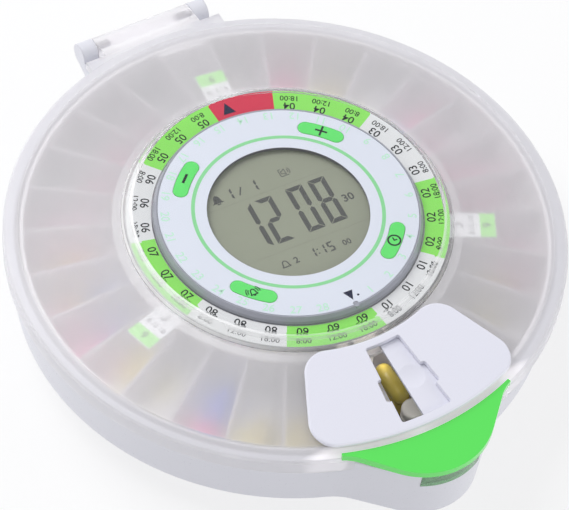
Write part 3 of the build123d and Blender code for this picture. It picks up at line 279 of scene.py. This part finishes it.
M["can"] = plastic("motor_can", (0.58, 0.59, 0.61), 0.33, 0.05, 2000, 0.05, Metallic=1.0)
M["board"] = plastic("board_green", (0.02, 0.16, 0.06), 0.35, 0.15, 700, 0.05)
M["black"] = plastic("black_moulding", (0.02, 0.02, 0.022), 0.45, 0.1, 3000, 0.1)
M["frame"] = plastic("frame_white", (0.70, 0.70, 0.70), 0.5, 0.02, 2000, 0.05)
M["strip"] = plastic("strip_grey", (0.12, 0.12, 0.13), 0.7, 0.1, 3000, 0.1)
M["display"] = plastic("display_olive", (0.31, 0.335, 0.245), 0.42, 0.035, 2400, 0.02, 22.0)
M["bezel"] = plastic("bezel_grey", (0.27, 0.28, 0.32), 0.32, 0.03, 2400, 0.04)
M["face"] = plastic("face_white", (0.77, 0.81, 0.91), 0.34, 0.01, 2600, 0.02)
M["key"] = plastic("key_green", (0.115, 0.80, 0.15), 0.35, 0.02, 2200, 0.03)
M["label"] = plastic("label_print", (0.80, 0.81, 0.82), 0.55, 0.015, 1800, 0.04)
M["tablet_white"] = plastic("tablet_white", (0.86, 0.82, 0.76), 0.7, 0.04, 1500, 0.25)
M["tablet_pink"] = plastic("tablet_pink", (1.0, 0.03, 0.33), 0.6, 0.06, 1500, 0.2)
M["capsule_yellow"] = plastic(
    "capsule_yellow", (0.66, 0.52, 0.10), 0.2, 0.08, 500, 0.02, Coat_Weight=0.6
)
M["capsule_blue"] = plastic(
    "capsule_blue", (0.04, 0.12, 0.90), 0.2, 0.06, 500, 0.02, Coat_Weight=0.6
)
M["cap"] = plastic(
    "cap_green", (0.10, 0.80, 0.10), 0.2, 0.02, 1500, 0.006, Coat_Weight=0.8, Coat_Roughness=0.1
)
M["hatch"] = plastic("hatch_white", (0.79, 0.79, 0.88), 0.30, 0.01, 6000, 0.002)
M["lid"] = see_through(
    "lid_frosted", (0.96, 0.945, 0.965), 0.36, LID_CLEAR, (0.98, 0.98, 0.98), bump=0.03
)
M["tray"] = see_through("tray_clear", (0.97, 0.95, 0.97), 0.35, TRAY_CLEAR, (0.97, 0.97, 0.97))
M["divider"] = see_through("divider_clear", (0.84, 0.81, 0.84), 0.45, 0.72, (0.97, 0.97, 0.97))
M["window"] = see_through("window_clear", (1.0, 1.0, 1.0), 0.012, 1.0, (0.97, 0.97, 0.97), bump=0.0)
M["display_clear"] = see_through(
    "display_clear", (1.0, 1.0, 1.0), 0.02, 1.0, (0.96, 0.96, 0.96), bump=0.0
)
M["door"] = plastic("door_milky", (0.79, 0.79, 0.88), 0.34, 0.012, 900, 0.0)
M["lens"] = see_through("lens_green", (0.62, 0.95, 0.66), 0.06, 0.85, (0.85, 0.95, 0.85), bump=0.0)
M["led"] = see_through("led_clear", (0.92, 0.92, 0.88), 0.1, 0.8, (0.9, 0.9, 0.9))
M["print_green"] = plastic(
    "print_green", (0.27, 0.80, 0.12), 0.5, 0.03, 1800, 0.04, Specular_IOR_Level=0.3
)
M["print_mint"] = plastic(
    "print_mint", (0.55, 0.87, 0.68), 0.45, 0.03, 2600, 0.02, Specular_IOR_Level=0.3
)
M["print_ring"] = plastic(
    "print_ring", (0.27, 0.72, 0.33), 0.45, 0.03, 2600, 0.02, Specular_IOR_Level=0.3
)
M["print_red"] = plastic(
    "print_red", (0.66, 0.03, 0.075), 0.5, 0.04, 1800, 0.04, Specular_IOR_Level=0.2
)
M["print_navy"] = plastic(
    "print_navy", (0.006, 0.008, 0.04), 0.45, 0.06, 1800, 0.03, Specular_IOR_Level=0.1
)
M["print_dark"] = plastic(
    "print_dark", (0.008, 0.01, 0.014), 0.5, 0.06, 1800, 0.03, Specular_IOR_Level=0.1
)
M["segment"] = plastic(
    "segment_grey", (0.062, 0.066, 0.062), 0.45, 0.06, 2400, 0.02, Specular_IOR_Level=0.2
)
M["segment_faint"] = plastic("segment_faint", (0.22, 0.23, 0.17), 0.45, 0.05, 2400, 0.02)

# The lid's rim and skirt are milkier than its cone; the hinge leaf stays clear
tree = M["lid"].node_tree
leaf = past(tree, 97.8, 98.4, "Y")
milky = less(tree, past(tree, 92.4, 93.0), leaf)
steered(M["lid"], "Transmission Weight", milky, LID_CLEAR, 0.58)
tinted(M["lid"], milky, (0.82, 0.81, 0.84))
steered(M["lid"], "IOR", leaf, CLEAR_IOR, 1.15)
# The cover of the home cell is no whiter than the other cells
tree = M["tray"].node_tree
cover = less(tree, past(tree, 39.2, 39.4, "Z"), past(tree, 89.0, 89.3))
cover = joined(tree, "MULTIPLY", cover, past(tree, 56.0, 56.3))
steered(M["tray"], "Transmission Weight", cover, TRAY_CLEAR, 0.9)
tinted(M["tray"], cover, (0.72, 0.70, 0.72))
# The window's top is clear, its wall a little milky, with two milkier edges as painted highlight
# lines. The wall is milkiest on the left as a painted highlight band where the light falls, and
# clearer away from the left, where the hours are read through it.
tree = M["window"].node_tree
steered(M["window"], "IOR", past(tree, 52.6, 53.2), CLEAR_IOR, 1.08)
wall = past(tree, 53.3, 53.9)
highlight_bands = [
    less(tree, past(tree, near, near + 0.2), past(tree, far, far + 0.2))
    for near, far in ((53.45, 54.15), (56.5, 57.0))
]
edges = joined(tree, "ADD", *highlight_bands)
half = node(tree, "ShaderNodeMath", operation="MULTIPLY_ADD", use_clamp=True)
link(tree, wall, half.inputs[0])
half.inputs[1].default_value = 0.4
link(tree, edges, half.inputs[2])
# Painted highlight: the milky share is fullest on the left, where the light falls
left = node(tree, "ShaderNodeMapRange")
link(tree, past(tree, -25, -48, "X"), left.inputs["Value"])
left.inputs["To Min"].default_value = 0.42
milky = joined(tree, "MULTIPLY", half.outputs[0], left.outputs["Result"])
steered(M["window"], "Transmission Weight", milky, 1.0, 0.3)
# Painted shade: the wall round the display is dark, as the shade in the display's recess
tree = M["face"].node_tree
wall = node(tree, "ShaderNodeMath", operation="SUBTRACT")
wall.inputs[0].default_value = 1.0
link(tree, past(tree, 28.03, 28.05), wall.inputs[1])
tinted(M["face"], wall.outputs[0], (0.10, 0.10, 0.12))
softened(M["case"], 0.7)
softened(M["hatch"], 0.6)
# Painted light: the lid's rim between the hatch plate and the cap glows faintly, lifting the shade
# in the groove there
tree = M["lid"].node_tree
painted_groove_light = less(tree, past(tree, 92.6, 93.0), past(tree, 96.3, 96.6))
painted_groove_light = less(tree, painted_groove_light, past(tree, -87, -85, "Y"))
glowing(M["lid"], painted_groove_light, (1.0, 0.95, 0.96), 0.27)
# The bezel's foot is darker than its upper edge
upper = past(M["bezel"].node_tree, 51.2, 51.5, "Z")
tinted(M["bezel"], upper, (0.36, 0.37, 0.43))

# Painted light: the clear plastic round the pills is tinted with their colour, standing in for
# their coloured light
# spread through the frosted lid. Columns: colour, radius of the full tint, radius where it ends,
# and the pills' places, in millimetres
PINK_PILLS = (
    (-22.7, 67.4), (-76.6, 12.6), (42.1, 69.9), (75.8, 30.2), (81.5, -4.4),
    (72.1, -38.2), (-81.5, -4.4), (-67.5, 45.8), (36.7, 60.9), (70.2, 11.5),
    (71.0, -3.8), (-71.0, -3.8), (-58.8, 39.9), (-36.7, 60.9),
)  # fmt: skip
RED_PILLS = ((-59.0, -48.1),)
YELLOW_PILLS = (
    (52.3, 55.2), (54.9, -46.6), (-31.6, -65.8), (-44.0, -59.5), (-63.6, -17.7),
    (-66.9, 26.6),
)  # fmt: skip
BLUE_PILLS = ((-63.2, 10.4), (59.5, 23.7), (-47.6, -40.5))
PAINTED_PILL_SPILL = (
    ((1.0, 0.20, 0.52), 3.0, 12.5, PINK_PILLS),
    ((1.0, 0.10, 0.22), 3.0, 12.0, RED_PILLS),
    ((1.0, 0.86, 0.14), 5.0, 14.0, YELLOW_PILLS),
    ((0.26, 0.36, 1.0), 4.0, 12.0, BLUE_PILLS),
)
PILL_Z = 19.0
FULL_TINT = 0.95
for made in (M["tray"], M["divider"]):
    tree = made.node_tree
    where = node(tree, "ShaderNodeTexCoord")
    for colour, near, far, places in PAINTED_PILL_SPILL:
        total = None
        for x, y in places:
            away = node(tree, "ShaderNodeVectorMath", operation="DISTANCE")
            link(tree, where.outputs["Object"], away.inputs[0])
            away.inputs[1].default_value = (x * MM, y * MM, PILL_Z * MM)
            fade = node(tree, "ShaderNodeMapRange", interpolation_type="SMOOTHSTEP")
            link(tree, away.outputs["Value"], fade.inputs["Value"])
            fade.inputs["From Min"].default_value = far * MM
            fade.inputs["From Max"].default_value = near * MM
            fade.inputs["To Max"].default_value = FULL_TINT
            spot = fade.outputs["Result"]
            total = spot if total is None else joined(tree, "MAXIMUM", total, spot)
        tinted(made, total, colour)
# Painted light: the wall seen through the slot glows warm and light, where the opaque hatch plate
# leaves it in shade
tree = M["tray"].node_tree
painted_slot_light = less(tree, past(tree, -44, -46, "Y"), past(tree, 54.2, 55.0))
for side in (1, -1):
    painted_slot_light = less(tree, painted_slot_light, past(tree, side * 9.5, side * 10.5, "X"))
glowing(M["tray"], painted_slot_light, (1.0, 0.92, 0.80), 0.3)
# Painted light: the hatch plate's outer side glows faintly, so that it is as light as its top
glowing(M["hatch"], past(M["hatch"].node_tree, 94.2, 94.5), (1.0, 0.97, 0.97), 0.1)

finish = {
    "case": ["base_housing"],
    "cover": ["bottom_cover", "battery_door"],
    "pin": ["hinge_pins", "idler_pin"],
    "rubber": ["feet"],
    "steel": ["cover_screws", "small_screws", "key_domes"],
    "jacket": ["battery_cells"],
    "nickel": ["battery_contacts", "battery_springs"],
    "deck": ["gear_deck"],
    "gear": ["idler_gear", "motor_pinion"],
    "can": ["motor_body"],
    "board": ["circuit_board", "beacon_board"],
    "black": ["buzzer", "controller_chip"],
    "frame": ["display_frame"],
    "strip": ["display_strips"],
    "display": ["display_glass"],
    "display_clear": ["display_lens"],
    "bezel": ["hub_bezel"],
    "face": ["hub_face"],
    "key": ["key_clock", "key_plus", "key_minus", "key_bell"],
    "label": ["label_ring"],
    "tray": ["pill_tray"],
    "divider": ["tray_dividers"],
    "tablet_white": ["pills_white"],
    "tablet_pink": ["pills_pink"],
    "capsule_yellow": ["pills_yellow"],
    "capsule_blue": ["pills_blue"],
    "lid": ["lid_shell"],
    "window": ["lid_window"],
    "cap": ["nose_cap"],
    "hatch": ["hatch_plate"],
    "door": ["hatch_door"],
    "lens": ["beacon_lens"],
    "led": ["beacon_leds"],
}
for key, names in finish.items():
    for name in names:
        mesh = nodes[name].data
        mesh.materials.clear()
        mesh.materials.append(M[key])


# ---------------------------------------------------------------- thin printed pieces
def add_mesh(name, verts, faces, material, body):
    mesh = bpy.data.meshes.new(name)
    mesh.from_pydata([Vector(v) * MM for v in verts], [], faces)
    mesh.update()
    mesh.materials.append(M[material])
    made = bpy.data.objects.new(name, mesh)
    scene.collection.objects.link(made)
    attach(made, body)
    return made


class Print:
    """Collects flat shapes at one height, then becomes one thin printed piece."""

    def __init__(self, name, material, body, z):
        self.name, self.material, self.body, self.z = name, material, body, z
        self.verts, self.faces = [], []

    def shape(self, points, quads=None):
        """A filled outline, counter-clockwise; quads lists faces where it isn't convex."""
        after = list(points[1:]) + [points[0]]
        area = sum(a[0] * b[1] - b[0] * a[1] for a, b in zip(points, after))
        if area < 0 and quads is None:
            points = list(points)[::-1]
        start, count = len(self.verts), len(points)
        self.verts += [(x, y, self.z + PRINT_THICK) for x, y in points]
        self.verts += [(x, y, self.z + PRINT_SUNK) for x, y in points]
        if quads is None:
            self.faces.append([start + i for i in range(count)])
            self.faces.append([start + count + i for i in range(count)][::-1])
            rim = [(i, (i + 1) % count) for i in range(count)]
        else:
            for quad in quads:
                self.faces.append([start + i for i in quad])
                self.faces.append([start + count + i for i in quad][::-1])
            edges = {}
            for quad in quads:
                for a, b in zip(quad, quad[1:] + quad[:1]):
                    edges[(a, b)] = edges.get((a, b), 0) + 1
            rim = [e for e in edges if (e[1], e[0]) not in edges]
        for a, b in rim:
            self.faces.append([start + b, start + a, start + count + a, start + count + b])

    def band(self, inner, outer, start, end, steps):
        """Part of a ring round the middle, angles in degrees from +X."""
        inside, outside = [], []
        for i in range(steps + 1):
            a = math.radians(start + (end - start) * i / steps)
            inside.append((inner * math.cos(a), inner * math.sin(a)))
            outside.append((outer * math.cos(a), outer * math.sin(a)))
        points = inside + outside
        n = steps + 1
        quads = [[i, n + i, n + i + 1, i + 1] for i in range(steps)]
        self.shape(points, quads)

    def ring(self, cx, cy, inner, outer, steps=28):
        """A small ring round any centre."""
        inside, outside = [], []
        for i in range(steps):
            a = math.radians(360 * i / steps)
            inside.append((cx + inner * math.cos(a), cy + inner * math.sin(a)))
            outside.append((cx + outer * math.cos(a), cy + outer * math.sin(a)))
        n = steps
        quads = [[i, n + i, n + (i + 1) % n, (i + 1) % n] for i in range(n)]
        self.shape(inside + outside, quads)

    def box(self, place, left, right, low, high):
        """A rectangle in a place's flat coordinates."""
        corners = ((left, low), (right, low), (right, high), (left, high))
        self.shape([place(*c) for c in corners])

    def stroke(self, points, width):
        """A line of constant width through the points, with square ends."""
        for a, b in zip(points, points[1:]):
            dx, dy = b[0] - a[0], b[1] - a[1]
            size = math.hypot(dx, dy)
            nx, ny = -dy / size * width / 2, dx / size * width / 2
            corners = ((a, -1), (b, -1), (b, 1), (a, 1))
            self.shape([(end[0] + s * nx, end[1] + s * ny) for end, s in corners])

    def text(self, words, size, place, bold=0.0):
        """Characters of the built-in font; place turns flat text coordinates into the plan."""
        curve = bpy.data.curves.new("words", "FONT")
        curve.body = words
        curve.size = size
        curve.offset = bold
        curve.align_x = "CENTER"
        curve.align_y = "CENTER"
        curve.resolution_u = 3
        holder = bpy.data.objects.new("words", curve)
        scene.collection.objects.link(holder)
        bpy.context.view_layer.update()
        graph = bpy.context.evaluated_depsgraph_get()
        flat = bpy.data.meshes.new_from_object(holder.evaluated_get(graph))
        points = [place(v.co.x, v.co.y) for v in flat.vertices]
        quads = [list(p.vertices) for p in flat.polygons]
        bpy.data.objects.remove(holder, do_unlink=True)
        bpy.data.meshes.remove(flat)
        bpy.data.curves.remove(curve)
        self.shape(points, quads)

    def done(self):
        return add_mesh(self.name, self.verts, self.faces, self.material, self.body)


def around(radius, azimuth):
    """Text placed on a circle, with its top towards the middle."""
    a = math.radians(azimuth)
    out = (math.cos(a), math.sin(a))
    side = (-out[1], out[0])

    def place(x, y):
        r = radius - y
        return (out[0] * r + side[0] * x, out[1] * r + side[1] * x)

    return place


def local(x0, y0, turn):
    """Flat coordinates shifted to a point and turned by degrees."""
    a = math.radians(turn)

    def place(x, y):
        return (x0 + x * math.cos(a) - y * math.sin(a), y0 + x * math.sin(a) + y * math.cos(a))

    return place


# Dial face: a green ring, the cells' numbers and a pointer
face_ring = Print("face_ring", "print_ring", "base", FACE_Z)
face_ring.band(32.1, 33.4, 0, 360, 180)
face_ring.done()
numbers = Print("face_numbers", "print_mint", "base", FACE_Z)
for number in range(1, PLACES):
    azimuth = FRONT + number * CELL + DIAL_TURN
    numbers.text(str(number), 4.3, around(42.6, azimuth), 0.03)
numbers.done()
pointer = Print("face_pointer", "print_navy", "base", FACE_Z)
pointer.shape([(-1.7, -38.9), (-0.1, -43.0), (1.75, -39.1)])
pointer.ring(2.5, -41.9, 0.01, 0.42)
pointer.done()

# Label ring: fields in groups of three hours, day after day, and a red home field
HOURS = ("8:00", "12:00", "18:00")
DAYS = 9


def dose(place):
    """How many doses a place on the label is past the home field, counted from 0."""
    return (place if place < HOME[0] else place - PLACES) - 1


fields = {"print_green": [], "label": [], "print_red": []}
for k in range(PLACES):
    if k in HOME:
        fields["print_red"].append(k)
    else:
        day = dose(k) // len(HOURS)
        fields["label" if day % 2 == 0 else "print_green"].append(k)
for name, cells in fields.items():
    piece = Print("label_" + name, name, "tray", LABEL_Z)
    for k in cells:
        middle = FRONT + k * CELL
        piece.band(47.05, 55.35, middle - CELL / 2, middle + CELL / 2, 8)
    piece.done()
label_marks = Print("label_numbers", "print_dark", "tray", LABEL_Z + OVER_PRINT)
for k in range(PLACES):
    if k in HOME:
        continue
    azimuth = FRONT + k * CELL
    day = dose(k) // len(HOURS) % DAYS + 1
    label_marks.text("0" + str(day), 4.3, around(49.5, azimuth), 0.04)
    label_marks.text(HOURS[dose(k) % len(HOURS)], 3.1, around(52.95, azimuth), 0.02)
label_marks.done()
home = Print("label_arrow", "print_navy", "tray", LABEL_Z + OVER_PRINT)
a = math.radians(FRONT + HOME[1] * CELL)
out, side = Vector((math.cos(a), math.sin(a))), Vector((-math.sin(a), math.cos(a)))
tip, foot = out * 54.2, out * 49.2
home.shape([tuple(tip), tuple(foot + side * 2.3), tuple(foot - side * 2.3)])
home.done()

# Tabs of the label ring: a white and a green part, with plain numbers
tab_white = Print("tab_white", "label", "tray", TAB_Z)
tab_green = Print("tab_green", "print_green", "tray", TAB_Z)
tab_marks = Print("tab_numbers", "print_dark", "tray", TAB_Z + OVER_PRINT)
TAB_HALF = 5.05
for turn in (172.2, 62.1, -74.5):
    azimuth = FRONT + turn
    middle = around(0.0, azimuth)
    for piece, near, far in ((tab_white, 55.7, 66.6), (tab_green, 66.6, 71.9)):
        piece.box(middle, -TAB_HALF, TAB_HALF, -near, -far)
    tab_marks.text("3", 5.6, around(58.7, azimuth), 0.06)
    tab_marks.text("8 12 18", 2.6, around(63.6, azimuth))
    tab_marks.text("9", 4.2, around(69.2, azimuth), 0.04)
tab_white.done()
tab_green.done()
tab_marks.done()

# Signs on the keys
KEY_R = 37.7
KEY_AT = {"clock": -47.6, "plus": 42.0, "minus": 130.7, "bell": -139.0}


def on_key(name, turn):
    """Flat coordinates on a key's middle, turned by degrees."""
    a = math.radians(KEY_AT[name])
    return local(KEY_R * math.cos(a), KEY_R * math.sin(a), turn)


plus = Print("sign_plus", "print_dark", "key_plus", KEY_Z)
turned = on_key("plus", KEY_AT["plus"] - 90)
arm, half = 2.2, 0.36
plus.box(turned, -arm, arm, -half, half)
for low, high in ((-arm, -half), (half, arm)):
    plus.box(turned, -half, half, low, high)
plus.done()
minus = Print("sign_minus", "print_dark", "key_minus", KEY_Z)
minus.box(on_key("minus", KEY_AT["minus"] - 180), -0.46, 0.46, -2.1, 2.1)
minus.done()
clock = Print("sign_clock", "print_dark", "key_clock", KEY_Z)
turned = on_key("clock", -5)
clock.ring(*turned(0, 0), 1.85, 2.45)
clock.stroke([turned(0, 1.35), turned(0, 0.22)], 0.45)
clock.stroke([turned(-0.22, 0), turned(1.15, 0)], 0.45)
clock.done()
bell = Print("sign_bell", "print_dark", "key_bell", KEY_Z)
turned = on_key("bell", -2)
BELL_LINE = 0.42
bell_half = [(-1.35, -1.0), (-0.95, -0.55), (-0.85, 0.45), (-0.45, 1.15)]
bell_outline = bell_half + [(0, 1.3)] + [(-x, y) for x, y in bell_half[::-1]] + bell_half[:1]
bell.stroke([turned(*p) for p in bell_outline], BELL_LINE)
bell.box(turned, -0.35, 0.35, -1.6, -1.22)
for side in (-1, 1):
    for r in (1.8, 2.5):
        angles = [math.radians(-12 + 15 * i) for i in range(5)]
        arc = [turned(side * r * math.cos(b), r * math.sin(b) + 0.1) for b in angles]
        bell.stroke(arc, 0.34)
bell.done()

# Display: seven-segment digits and small signs
SEGMENTS = {"0": "abcdef", "1": "bc", "2": "abged", "5": "afgcd", "8": "abcdefg"}
LEAN = 0.045


def seven(piece, char, place, width, height, thick, gap):
    """One seven-segment digit, its lower left corner at the place's origin."""
    middle = height / 2
    low, high = middle - thick / 2, middle + thick / 2
    left, right = thick, width - thick
    tip = thick * 0.5
    shapes = {
        "a": [
            (gap, height),
            (width - gap, height),
            (right - gap, height - thick),
            (left + gap, height - thick),
        ],
        "d": [(left + gap, thick), (right - gap, thick), (width - gap, 0), (gap, 0)],
        "g": [
            (tip + gap, middle),
            (left + gap, high),
            (right - gap, high),
            (width - tip - gap, middle),
            (right - gap, low),
            (left + gap, low),
        ],
        "f": [
            (0, height - gap),
            (left, height - thick - gap),
            (left, high + gap),
            (tip, middle + gap),
            (0, high + gap),
        ],
        "b": [
            (width, height - gap),
            (width, high + gap),
            (width - tip, middle + gap),
            (right, high + gap),
            (right, height - thick - gap),
        ],
        "e": [
            (0, gap),
            (0, low - gap),
            (tip, middle - gap),
            (left, low - gap),
            (left, thick + gap),
        ],
        "c": [
            (width, gap),
            (right, thick + gap),
            (right, low - gap),
            (width - tip, middle - gap),
            (width, low - gap),
        ],
    }
    for part in SEGMENTS[char]:
        piece.shape([place(x + (y - middle) * LEAN, y) for x, y in shapes[part]])


LCD_TURN = -2.6
origin = local(0, 0, LCD_TURN)


def on_display(x0, y0):
    return local(*origin(x0, y0), LCD_TURN)


lcd = Print("display_digits", "segment", "base", GLASS_Z)
for char, x0 in (("1", -16.5), ("2", -8.5), ("0", 3.4), ("8", 12.1)):
    seven(lcd, char, on_display(x0, -10.0), 6.4, 20.0, 1.8, 0.16)
lcd.done()
small = Print("display_small", "segment", "base", GLASS_Z)
# The lower line: a small bell, 2, and 1:15 00
for char, x0 in (("1", -1.5), ("1", 2.3), ("5", 5.6)):
    seven(small, char, on_display(x0, -20.4), 2.3, 4.1, 0.62, 0.05)
for y in (-19.6, -17.8):
    small.box(origin, 1.55, 2.05, y, y + 0.5)
# The upper line: a bell, 1/1 and a speaker
for x0 in (-15.4, -6.0):
    seven(small, "1", on_display(x0, 13.7), 2.3, 5.0, 0.75, 0.08)
small.stroke([origin(-11.1, 14.4), origin(-9.3, 17.6)], 0.5)
full_bell = [(-2.2, 0), (-1.35, 0.75), (-1.15, 2.1), (-0.6, 3.1), (0.1, 3.5)]
full_bell += [(0.8, 3.1), (1.3, 2.1), (1.4, 0.75), (2.2, 0)]
small.shape([origin(-19.4 + x, 14.3 + y) for x, y in full_bell])
small.box(origin, -20.1, -18.7, 13.6, 14.1)
SPEAKER_LINE = 0.3
bracket = [(8.7, 15.6), (5.7, 15.6), (5.7, 18.7), (6.6, 18.7)]
speaker = [(6.3, 16.7), (6.9, 16.7), (7.8, 15.95), (7.8, 18.55), (6.9, 17.8)]
speaker += [(6.3, 17.8), (6.3, 16.7)]
waves = []
for r in (0.9, 1.6):
    angles = [math.radians(b) for b in range(-50, 51, 20)]
    waves.append([(8.0 + r * math.cos(b), 17.25 + r * math.sin(b)) for b in angles])
for line in (bracket, speaker, *waves):
    small.stroke([origin(*p) for p in line], SPEAKER_LINE)
small.text("30", 4.4, on_display(22.3, -2.0), 0.09)
small.text("00", 3.2, on_display(12.6, -19.0), 0.06)
small.text("2", 3.6, on_display(-6.7, -18.7), 0.07)
small.stroke([origin(-10.9 + x * 1.15, -18.7 + y * 1.15) for x, y in bell_outline], BELL_LINE)
small.done()
lines = Print("display_lines", "segment_faint", "base", GLASS_Z)
DISPLAY_LINE = 0.12
lines.stroke([origin(-24.8, 12.0), origin(24.9, 12.0)], DISPLAY_LINE)
lines.stroke([origin(-24.2, -13.3), origin(24.2, -13.3)], DISPLAY_LINE)
lines.done()

# ---------------------------------------------------------------- stage
def mixed_shader(tree, factor, a, b):
    """Two shaders mixed by a number or by a socket."""
    made = node(tree, "ShaderNodeMixShader")
    if isinstance(factor, float):
        made.inputs[0].default_value = factor
    else:
        link(tree, factor, made.inputs[0])
    link(tree, a.outputs[0], made.inputs[1])
    link(tree, b.outputs[0], made.inputs[2])
    return made


# The floor is part matte, for the object's shadow, and part white; whiter to the camera
floor_mat, tree = new_material("floor")
out = node(tree, "ShaderNodeOutputMaterial")
ray = node(tree, "ShaderNodeLightPath")
matte = node(tree, "ShaderNodeBsdfDiffuse")
matte.inputs["Color"].default_value = (0.9, 0.9, 0.91, 1)
glow = node(tree, "ShaderNodeEmission")
glow.inputs["Color"].default_value = (1, 1, 1, 1)
glow.inputs["Strength"].default_value = 1.0
hidden = mixed_shader(tree, 0.6, matte, glow)
seen = mixed_shader(tree, 0.72, matte, glow)
both = mixed_shader(tree, ray.outputs["Is Camera Ray"], hidden, seen)
link(tree, both.outputs[0], out.inputs["Surface"])
FLOOR = 4  # metres to each side
corners = [(-FLOOR, -FLOOR, 0), (FLOOR, -FLOOR, 0), (FLOOR, FLOOR, 0), (-FLOOR, FLOOR, 0)]
floor_mesh = bpy.data.meshes.new("floor")
floor_mesh.from_pydata(corners, [], [(0, 1, 2, 3)])
floor_mesh.materials.append(floor_mat)
floor = bpy.data.objects.new("floor", floor_mesh)
scene.collection.objects.link(floor)

world = bpy.data.worlds.new("studio")
scene.world = world
world.use_nodes = True
tree = world.node_tree
tree.nodes.clear()
out = node(tree, "ShaderNodeOutputWorld")
soft = node(tree, "ShaderNodeBackground")
soft.inputs["Color"].default_value = (0.97, 0.98, 1.0, 1)
soft.inputs["Strength"].default_value = 0.55
white = node(tree, "ShaderNodeBackground")
white.inputs["Color"].default_value = (1, 1, 1, 1)
white.inputs["Strength"].default_value = 1.0
ray = node(tree, "ShaderNodeLightPath")
both = mixed_shader(tree, ray.outputs["Is Camera Ray"], soft, white)
link(tree, both.outputs[0], out.inputs["Surface"])


def area_light(name, at, target, size, power):
    lamp = bpy.data.lights.new(name, "AREA")
    lamp.shape = "RECTANGLE"
    lamp.size, lamp.size_y = size
    lamp.energy = power
    made = bpy.data.objects.new(name, lamp)
    made.location = at
    made.rotation_euler = (Vector(target) - Vector(at)).to_track_quat("-Z", "Y").to_euler()
    scene.collection.objects.link(made)
    return made


MIDDLE = (0, 0, 0.03)
NOSE = (0, -0.08, 0.04)
key = area_light("key", (-0.45, 0.75, 1.25), (0, 0, 0), (1.0, 1.0), 14.0)
key.visible_glossy = False
area_light("left", (-0.9, 0.85, 0.4), MIDDLE, (0.8, 0.6), 0.9)
area_light("right", (1.1, -0.7, 0.38), MIDDLE, (1.1, 0.5), 2.8)
# A narrow lamp with a turn of its own, for the highlights at the nose
glint = area_light("glint", (0.98, -0.73, 0.44), NOSE, (1.0, 0.06), 1.3)
back = (glint.location - Vector(NOSE)).normalized()
long_way = Vector((0.62, 0.67, -0.41))
long_way = (long_way - long_way.dot(back) * back).normalized()
glint.rotation_euler = Matrix((long_way, back.cross(long_way), back)).transposed().to_euler()
# A weak lamp behind the slot, which the frosted lid would leave dark
inside = bpy.data.lights.new("slot_fill", "POINT")
inside.energy = 0.0011
inside.color = (1.0, 0.94, 0.84)
inside.shadow_soft_size = 0.004
fill = bpy.data.objects.new("slot_fill", inside)
fill.location = (0.002, -0.061, 0.038)
fill.visible_camera = fill.visible_glossy = fill.visible_transmission = False
scene.collection.objects.link(fill)

# ---------------------------------------------------------------- camera
# Solved from the photograph's circles; pixels is the focal length in the photograph's own
# pixels, and the shifts move the camera sideways and up by as many of them
azimuth, elevation, roll = math.radians(-35.41), math.radians(51.852), math.radians(6.17)
pixels, distance = 4000.0, 1.3674
shift_x, shift_y = 4.164, -44.223
look_at = Vector((0, 0, 0.0535))
level = math.cos(elevation)
back = Vector((level * math.sin(azimuth), -level * math.cos(azimuth), math.sin(elevation)))
right = (-back).cross(Vector((0, 0, 1))).normalized()
up = right.cross(-back)
right_rolled = math.cos(roll) * right + math.sin(roll) * up
up_rolled = -math.sin(roll) * right + math.cos(roll) * up
metres = distance / pixels
eye = look_at + back * distance
eye += -right_rolled * shift_x * metres + up_rolled * shift_y * metres
lens = bpy.data.cameras.new("camera")
lens.sensor_width = SENSOR_WIDTH
lens.lens = pixels / PHOTO_WIDTH * SENSOR_WIDTH
camera = bpy.data.objects.new("camera", lens)
axes = Matrix((right_rolled, up_rolled, back)).transposed().to_4x4()
camera.matrix_world = Matrix.Translation(eye) @ axes
scene.collection.objects.link(camera)
scene.camera = camera
scene.view_settings.view_transform = "Standard"
